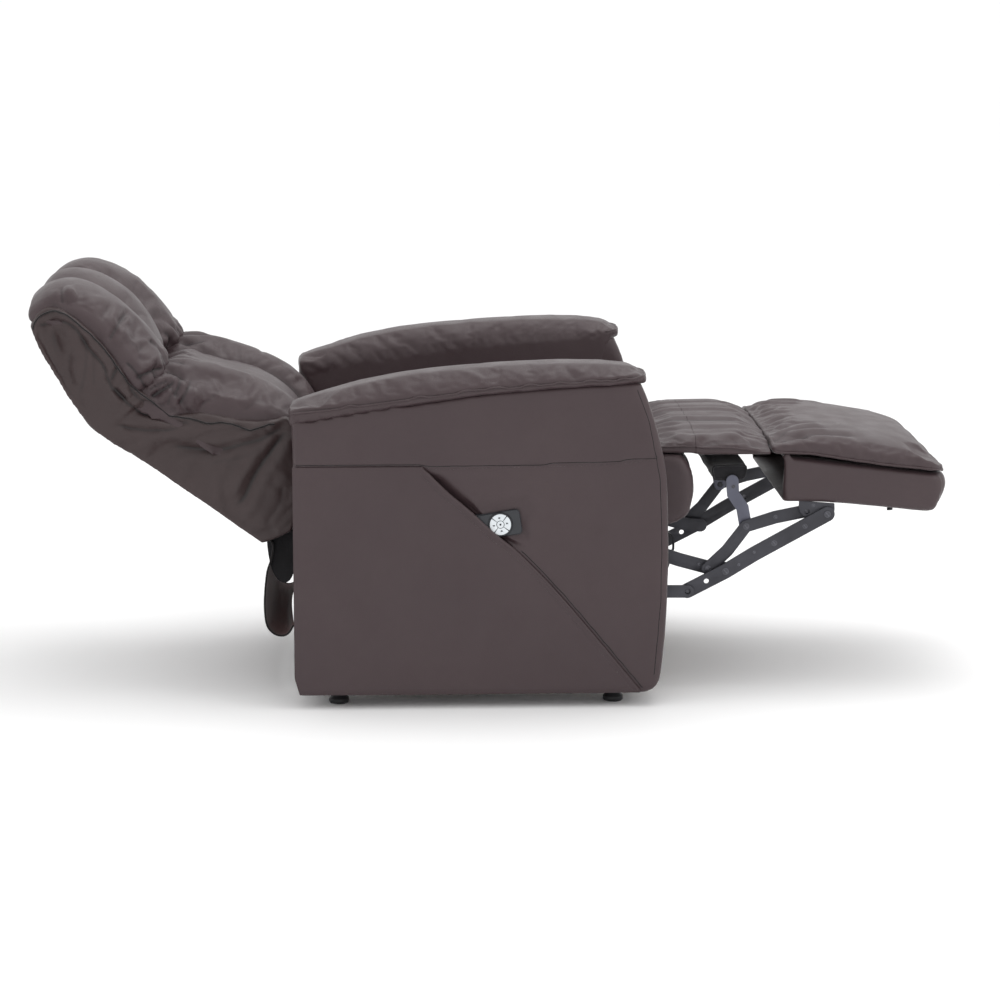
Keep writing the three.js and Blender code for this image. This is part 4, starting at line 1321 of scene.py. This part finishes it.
def make_front_top():
    """The pleated top over the seat's front edge and the two middle pads, made whole and then cut."""
    half, hinge_u = 259, 586

    def section(w):
        edge = max(1 - (abs(w) / 263) ** 3.4, 0)
        us = np.linspace(498, 745, 60)
        rim = FRONT_RIM(us)
        high = rim + (FRONT_TOP(us) - rim) * (0.12 + 0.88 * edge ** 0.7)
        low = np.full(60, 453.6) - 3.6 * span(us, 584, 588)
        line = list(zip(us, low)) + list(zip(us[::-1], high[::-1]))
        return even(line + [line[0]], 240, True)

    whole = loft("front_top", section, -half, half, 5, LEATHER, 100)
    skin = settle(whole, 5, 3)
    still = (skin.z < FRONT_RIM(skin.u) + 1) | (skin.u > 734) | (skin.u < 506)
    skin = puff(whole, np.where(still, 1.0, 0.0), 1.4, 4, 0.04, 12)
    up = span(skin.n[:, 1], 0.2, 0.7)
    rows = pleats(skin.u, skin.w)
    skin.push(up * 2.3 * rows * (1 - 0.6 * span(skin.u, 690, 727)))
    skin.shade = np.maximum(skin.shade, up * 0.55 * span(-rows, 0.5, 1.1))
    near = span(np.abs(skin.w), 190, 245)
    lumps = np.sin(skin.u / 10 + 0.8 * np.sin(skin.w / 13)) * np.sin(np.abs(skin.w) / 15 + skin.u / 26)
    skin.push(up * near * 2.2 * lumps)
    flank = span(np.abs(skin.n[:, 2]), 0.5, 0.8)
    rim = skin.z - FRONT_RIM(skin.u)
    skin.push(flank * (0.7 * np.sin(skin.u / 11) - 1.8 * np.exp(-((rim + 3) / 2.2) ** 2)))
    skin.relax(1)
    skin.store()
    front = keep_between("seat_front_cover", whole, 509, hinge_u - 0.3)
    middle = keep_between("middle_pad_cover", whole, hinge_u + 0.3, 727.3)
    cords = {}
    for name, start, end in (
        ("seat_front_piping", 510, hinge_u - 0.5), ("middle_pad_piping", hinge_u + 0.5, 726),
    ):
        us = np.linspace(start, end, 50)
        lines = [
            steady(on_skin(whole, np.column_stack([us, FRONT_RIM(us), np.full(50, 266.0 * hand)]), 0.5), 3)
            for hand in (1, -1)
        ]
        cords[name] = join(name, *(tube("cord", line, 1.8, LEATHER) for line in lines))
        smooth(cords[name])
    mesh = whole.data
    bpy.data.objects.remove(whole)
    bpy.data.meshes.remove(mesh)
    dress(front, "seat")
    dress(cords["seat_front_piping"], "seat")
    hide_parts("middle_pad_rear", "middle_pad_front")
    for piece in (middle, cords["middle_pad_piping"]):
        smooth(piece)
        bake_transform(piece)


# ---- Footrest -------------------------------------------------------------------------------
FOOT_RIM = track([(729, 451), (757, 449), (805, 447), (867, 437), (945, 425), (1011, 418), (1066, 411)])
FOOT_CROWN = track([
    (729, 474), (742, 480), (777, 485), (820, 486), (862, 484), (905, 479), (943, 472), (980, 465),
    (1015, 456), (1045, 441), (1066, 420),
])


def round_corners(verts, front, half, radius):
    """Rounds the two front corners of a slab, seen from above."""
    du = np.maximum(verts[:, 0] - (front - radius), 0)
    dw = np.maximum(np.abs(verts[:, 2]) - (half - radius), 0)
    shrink = np.maximum(du, dw) / np.maximum(np.hypot(du, dw), 1e-9)
    shrink[(du == 0) & (dw == 0)] = 1
    verts[:, 0] -= du * (1 - shrink)
    verts[:, 2] -= np.sign(verts[:, 2]) * dw * (1 - shrink)
    return verts


def make_footrest():
    half = 258
    pad_us = np.concatenate([[729, 731], np.linspace(738, 1050, 60), [1056, 1061]])

    def section(w):
        edge = max(1 - (abs(w) / 270) ** 3.2, 0)
        crown = 0.3 + 0.7 * edge ** 0.55
        low = FOOT_RIM(pad_us) + 0.5
        high = low + 6 + (np.maximum(FOOT_CROWN(pad_us) - low - 6, 0)) * crown
        line = list(zip(pad_us, low)) + list(zip(pad_us[::-1], high[::-1]))
        return even(line + [line[0]], 240, True)

    pad = loft(
        "footrest_pad_cover", section, -half, half, 5, LEATHER, 90,
        lambda v: round_corners(v, 1061, half, 34),
    )
    skin = settle(pad, 5.5, 4)
    rim = skin.z < FOOT_RIM(skin.u) + 7
    skin = puff(pad, np.where(rim | (skin.u < 733), 1.0, 0.0), 2.0, 5, 0.03, 14)
    up = span(skin.n[:, 1], 0.2, 0.7)
    flat = np.column_stack([skin.u, np.abs(skin.w)])
    skin.folds([
        ([(731, 240), (770, 226), (830, 214), (900, 212)], 11, 3.6, 2.8),
        ([(731, 228), (760, 196), (800, 176), (850, 168)], 9, 3.0, 2.2),
        ([(731, 205), (756, 160), (790, 130), (840, 118)], 9, 2.4, 1.8),
        ([(731, 160), (752, 110), (790, 80)], 8, 2.0, 1.6),
        ([(731, 110), (760, 60), (800, 40)], 8, 2.0, 1.5),
        ([(731, 40), (765, 20), (800, 8)], 8, 1.6, 1.2),
        ([(990, 235), (1020, 220), (1040, 200)], 12, 1.6, 1.2),
    ], where=up, flat=flat, lean=0.3)
    skin.push(up * 1.0 * wobble(skin.p, 150, 5) + 0.5 * wobble(skin.p, 60, 8))
    skin.relax(1)
    skin.store()
    dress(pad, "footrest", ("footrest_pad",))
    box_line = curve([
        (758, 446), (758, 446), (754, 415), (751, 385), (753, 362), (757, 357.5), (800, 357), (861, 353.5),
        (943, 345.5), (1017, 337.5), (1036, 337.5), (1048, 344), (1059, 363), (1066, 385), (1064, 400),
        (1056, 410), (1010, 415.5), (867, 432.5), (800, 441),
    ], 260)
    box = loft(
        "footrest_box_cover", lambda w: box_line, -251, 251, 13, LEATHER, 50,
        lambda v: round_corners(v, 1066, 251, 30),
    )
    remesh(box, 5)
    skin = Skin(box)
    skin.relax(3)
    sides = span(np.abs(skin.n[:, 2]), 0.5, 0.9)
    skin.push(sides * (5.5 * bump(skin.z - FOOT_RIM(skin.u), -40, 30) + 0.5 * wobble(skin.p, 90, 4)))
    # Its rear is open: the leather turns in between the two sides.
    hollow = (1 - span(skin.u, 756, 796)) * (1 - span(np.abs(skin.w), 224, 240))
    skin.p[:, 0] += 70 * hollow * span(skin.z, 362, 372) * (1 - span(skin.z, 428, 438))
    skin.store()
    dress(box, "footrest", ("footrest_box",))
    parts = []
    us = np.linspace(731, 1034, 86)
    turn = np.linspace(0, math.pi / 2, 16)
    corner_u, corner_w = 1034 + 32 * np.sin(turn), 228 + 33 * np.cos(turn)
    edge_u = np.concatenate([us, corner_u[1:]])
    edge_w = np.concatenate([np.full(len(us), 261.0), corner_w[1:]])
    front_w = np.linspace(224, -224, 60)
    line_u = np.concatenate([edge_u, np.full(60, 1067.0), edge_u[::-1]])
    line_w = np.concatenate([edge_w, front_w, -edge_w[::-1]])
    for drop, radius, out in ((2.6, 1.9, 0.7), (-4.5, 1.3, 0.2)):
        line = np.column_stack([line_u, FOOT_RIM(np.minimum(line_u, 1066)) + drop, line_w])
        parts.append(tube("cord", steady(on_skin(pad, line, out), 4), radius, LEATHER))
    cord = join("footrest_piping", *parts)
    smooth(cord)
    dress(cord, "footrest")
    nubs = [
        tube("nub", [(960, 341.5, w), (960, 340, w), (960.3, 337.6, w)], 5.5, BLACK_PLASTIC, sides=16)
        for w in (-225, 225)
    ]
    nubs = join("footrest_glides", *nubs)
    dress(nubs, "footrest")


# ---- Flap, cloths and skirt -----------------------------------------------------------------
def make_flap():
    outline = curve([
        (623, 402), (628, 397), (655, 396.5), (678, 399), (684, 404), (687, 417), (683, 424.5), (655, 425),
        (627, 423.5), (621, 418),
    ], 90)
    half = 222.5
    bar = loft("flap_board_wrap", lambda w: outline, -half, half, 3, WRAP, 40)
    skin = Skin(bar)
    skin.push(0.6 * wobble(skin.p, 40, 3) + 0.4 * np.sin(skin.w / 19))
    ends = np.abs(np.abs(skin.w) - half) < 0.5
    middle = outline.mean(0)
    skin.p[ends, :2] = middle + (skin.p[ends, :2] - middle) * 0.8
    skin.p[ends, 2] *= (half - 3) / half
    skin.store()
    rim = outline + (outline - middle) * -0.04
    rims = [
        tube("rim", np.column_stack([rim, np.full(90, w)]), 1.9, WRAP, closed=True)
        for w in (-half + 1.0, half - 1.0)
    ]
    bar = join("flap_board_wrap", bar, *rims)
    smooth(bar)
    dress(bar, "flap", ("flap_board",))
    under = curve([
        (590, 450.5), (592, 446.5), (612, 445), (640, 444.5), (660, 446.5), (664, 450.5), (628, 451),
    ], 80)
    cloth = loft("middle_pad_under_cloth", lambda w: under, -218, 218, 2, WRAP, 40)
    skin = Skin(cloth)
    skin.push(0.7 * wobble(skin.p, 46, 6))
    smooth(skin.store())
    dress(cloth, "middle_rear")


def make_skirt():
    """The flap of lined leather that hangs in a loop from the back's bottom edge."""
    line = from_back(curve([
        (12, -16), (4, -30), (-20, -42), (-46, -51), (-92, -78), (-124, -104), (-133, -122), (-130, -140),
        (-118, -150), (-99, -149),
    ], 60, closed=False))
    half = 239
    sections = []
    thick = 1.6
    ways = np.gradient(line, axis=0)
    ways /= np.linalg.norm(ways, axis=1)[:, None]
    out = np.stack([-ways[:, 1], ways[:, 0]], 1)
    for w in np.linspace(-half, half, 80):
        sway = 1.2 * np.sin(w / 62 + 1.2) * np.linspace(0, 1, 60) ** 1.3
        sway = sway + 9 * (1 - (w / half) ** 2) * ease(np.linspace(0, 2.2, 60))
        middle = line + out * sway[:, None]
        ring = np.vstack([middle + out * thick / 2, (middle - out * thick / 2)[::-1]])
        sections.append(np.column_stack([ring, np.full(120, w)]))
    verts, faces = rings(sections)
    skirt = make("rear_skirt_cloth", verts, faces, LEATHER)
    skirt.data.materials.append(LINING)
    mesh = skirt.data
    for face in mesh.polygons:
        inner = sum(1 for v in face.vertices if 60 <= v % 120) >= 3
        face.material_index = 0 if inner else 1
    # The hems are cords in the dark seam-shade material along the skirt's two side edges.
    hem = join("rear_skirt_hem", *(
        tube("hem", np.column_stack([line, np.full(60, w)]), 1.9, SHADE, sides=6) for w in (-half, half)
    ))
    smooth(hem)
    # Black cloth gussets at the skirt's two sides close the opening beside the arms; they also stand in as
    # painted shade for the chair's dark inside, seen through that opening.
    gore = curve([
        (-220, 297), (-200, 303), (-174, 308), (-171, 276), (-171, 228), (-184, 207), (-203, 214), (-216, 246),
    ], 60)
    shade_gores = join("rear_skirt_gussets", *(
        loft("gore", lambda w: gore, *ends, 0.5, WRAP, 4) for ends in ((228, 230.5), (-230.5, -228))
    ))
    smooth(shade_gores)
    for piece in (skirt, hem, shade_gores):
        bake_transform(piece)
    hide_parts("rear_skirt")


# ---- Hard parts -----------------------------------------------------------------------------
# For nodes whose names start so: the material, and how wide the sharp edges are broken, in mm.
FINISHES = {
    "foot_": (BLACK_PLASTIC, 0.8), "glide_rail": (FRAME_STEEL, 0.6), "base_tube": (FRAME_STEEL, 0.0),
    "control_box": (BLACK_PLASTIC, 1.5), "seat_plate": (FRAME_STEEL, 0.8), "seat_tube": (FRAME_STEEL, 0.4),
    "seat_deck": (BOARD, 1.0), "footrest_motor": (BLACK_PLASTIC, 0.8), "recline_motor": (BLACK_PLASTIC, 0.8),
    "back_bracket": (LINK_STEEL, 0.8), "back_torque": (FRAME_STEEL, 0.4), "drive_link": (LINK_STEEL, 0.9),
    "long_link": (LINK_STEEL, 0.9), "lower_link": (LINK_STEEL, 0.9), "lift_link": (LINK_STEEL, 0.9),
    "flap_link": (FLAP_STEEL, 0.9), "drive_tube": (FRAME_STEEL, 0.5), "footrest_bracket": (LINK_STEEL, 0.9),
    "handset_case": (HANDSET_PLASTIC, 0.9), "handset_ring": (HANDSET_PLASTIC, 0.25), "key_": (KEY_PLASTIC, 0.3),
}


def refine(node, material, width):
    """A copy of a CAD node with its sharp edges broken, which stands for the node."""
    source = frame["nodes"][node]
    mesh = source.data.copy()
    mesh.name = node + "_finished"
    work = bmesh.new()
    work.from_mesh(mesh)
    bmesh.ops.remove_doubles(work, verts=work.verts, dist=1e-5)
    bmesh.ops.dissolve_limit(work, angle_limit=math.radians(1.0), verts=work.verts, edges=work.edges)
    if width:
        steep = math.radians(35)
        sharp = [e for e in work.edges if len(e.link_faces) == 2 and e.calc_face_angle(0) > steep]
        bmesh.ops.bevel(
            work, geom=sharp, offset=width / 1000, segments=2, profile=0.6, affect="EDGES",
            clamp_overlap=True,
        )
    bmesh.ops.triangulate(work, faces=[f for f in work.faces if len(f.verts) > 4])
    work.to_mesh(mesh)
    work.free()
    piece = bpy.data.objects.new(node + "_finished", mesh)
    bpy.context.collection.objects.link(piece)
    mesh.materials.clear()
    mesh.materials.append(material)
    smooth(piece)
    mesh.set_sharp_from_angle(angle=math.radians(30))
    dress(piece, BODY_OF[node], (node,))
    return piece


def make_hard_parts():
    for node in sorted(frame["nodes"]):
        for start, (material, width) in FINISHES.items():
            if node.startswith(start):
                if node.endswith("_rod"):
                    material = FRAME_STEEL
                refine(node, material, width)
                break


def rivet(at, w, hand, radius, tall, material):
    """A domed rivet head standing on a plate's outer face."""
    rows = [
        (radius, 0), (radius, tall * 0.35), (radius * 0.82, tall * 0.78), (radius * 0.45, tall),
        (0.4, tall * 1.02),
    ]
    turn = np.linspace(0, 2 * math.pi, 20, endpoint=False)
    sections = [
        np.array([(at[0] + r * math.cos(a), at[1] + r * math.sin(a), (w + h) * hand) for a in turn])
        for r, h in rows
    ]
    verts, faces = rings(sections)
    return make("rivet", verts, faces, material)


def pivot(joint):
    place = side([JOINTS[joint]["pos_m"]])[0]
    return place[0], place[1]


def make_rivets():
    """Rivet heads on both sides of the chair: each row is a place, the plate's face, radius and height."""
    thick = 5
    rows = {
        "drive_links": [(pivot("footrest_fold"), 217, 8, 1.6), ((598, 233), 217, 4, 0.9)],
        "long_links": [
            (pivot("long_link_pivot"), 243, 6.5, 1.2), ((671, 238), 243, 3, 0.8), ((700, 262), 243, 3, 0.6),
            ((738, 279), 243, 5.6, 0.5), ((796, 311), 243, 4.8, 0.5), ((575.5, 186.5), 243, 6.5, 1.0),
        ],
        "lower_links": [(pivot("lower_link_pivot"), 249.5, 7, 1.6)],
        "lift_links": [
            (pivot("lift_link_pivot"), 230, 6, 1.0), (pivot("flap_link_pivot"), 230, 6, 1.2),
            ((741, 327), 230, 4, 0.8), ((800, 338), 230, 7.2, 0.4),
        ],
        "flap": [((661, 385), 223.5, 4, 0.8)],
        "footrest": [((838, 334), 249, 6.5, 1.4), ((812, 350), 236.5, 3.5, 0.9)],
    }
    for body, pins in rows.items():
        heads = join(body + "_rivets", *(
            rivet(at, w if w == 249 else w + thick, hand, radius, tall, RIVET_STEEL)
            for at, w, radius, tall in pins for hand in (1, -1)
        ))
        smooth(heads)
        heads.data.set_sharp_from_angle(angle=math.radians(40))
        dress(heads, body)


def make_handset_marks():
    """Small generic marks on the keys, and a lamp near the handset's front end."""
    tilt, outward = math.radians(HANDSET_TILT), math.radians(3)
    ahead = np.array([math.cos(tilt), math.sin(tilt), 0])
    up = np.array([-math.sin(tilt), math.cos(tilt), 0])
    out = np.array([0, 0, 1.0])
    up = up * math.cos(outward) - out * math.sin(outward)
    out = np.cross(ahead, up)
    for key in ("key_back_up", "key_legs_up", "key_back_down", "key_legs_down", "key_stop"):
        low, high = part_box(key)
        middle = side([(low + high) / 2])[0]
        face = side([low])[0][2]
        base = np.array([middle[0], middle[1], 0.0])
        if key == "key_stop":
            turn = np.linspace(0, 2 * math.pi, 12, endpoint=False)
            shape = [(1.9 * math.cos(a), 1.9 * math.sin(a)) for a in turn]
        else:
            flip = -1 if key.endswith("down") else 1
            shape = [(-2.2, -1.1 * flip), (2.2, -1.1 * flip), (0.9, 1.3 * flip), (-0.9, 1.3 * flip)]
        dial = np.array([*HANDSET_SPOT, HANDSET_W]) + 32 * ahead
        flat = []
        for a, b in shape:
            point = base + a * ahead + b * up
            slip = (dial - np.array([point[0], point[1], 0])) @ out
            flat.append((point[0], point[1], slip / out[2]))
        flat = np.array(flat)
        shift = face - flat[:, 2].max()
        top = flat + out * (shift if 0 < shift < 6 else 2.0)
        verts, faces = rings([top - out * 0.6, top + out * 0.12])
        mark = make(key + "_mark", verts, faces, MARK_INK)
        dress(mark, BODY_OF[key])
    centre = np.array([*HANDSET_SPOT, HANDSET_W]) + 62 * ahead
    turn = np.linspace(0, 2 * math.pi, 14, endpoint=False)
    sections = [
        np.array([centre + out * h + r * (math.cos(a) * ahead + math.sin(a) * up) for a in turn])
        for r, h in ((1.8, -0.5), (1.8, 0.3), (1.1, 0.7))
    ]
    verts, faces = rings(sections)
    dress(make("handset_lamp", verts, faces, LAMP), "base")


# ---- The whole chair ------------------------------------------------------------------------
make_camera()
make_studio()
right_arm = make_arm("arm_right_cover", 1)
left_arm = make_arm("arm_left_cover", -1)
rear_panel = make_lip_panel()
make_arm_seams("arm_right_seams", right_arm, 1, rear_panel)
make_arm_seams("arm_left_seams", left_arm, -1)
make_arm_pad("arm_pad_right_cover", 1, ("arm_pad_right",))
make_arm_pad("arm_pad_left_cover", -1, ("arm_pad_left",))
make_back_cover()
make_lumbar()
make_head()
make_seat()
make_front_top()
make_footrest()
make_flap()
make_skirt()
make_hard_parts()
make_rivets()
make_handset_marks()
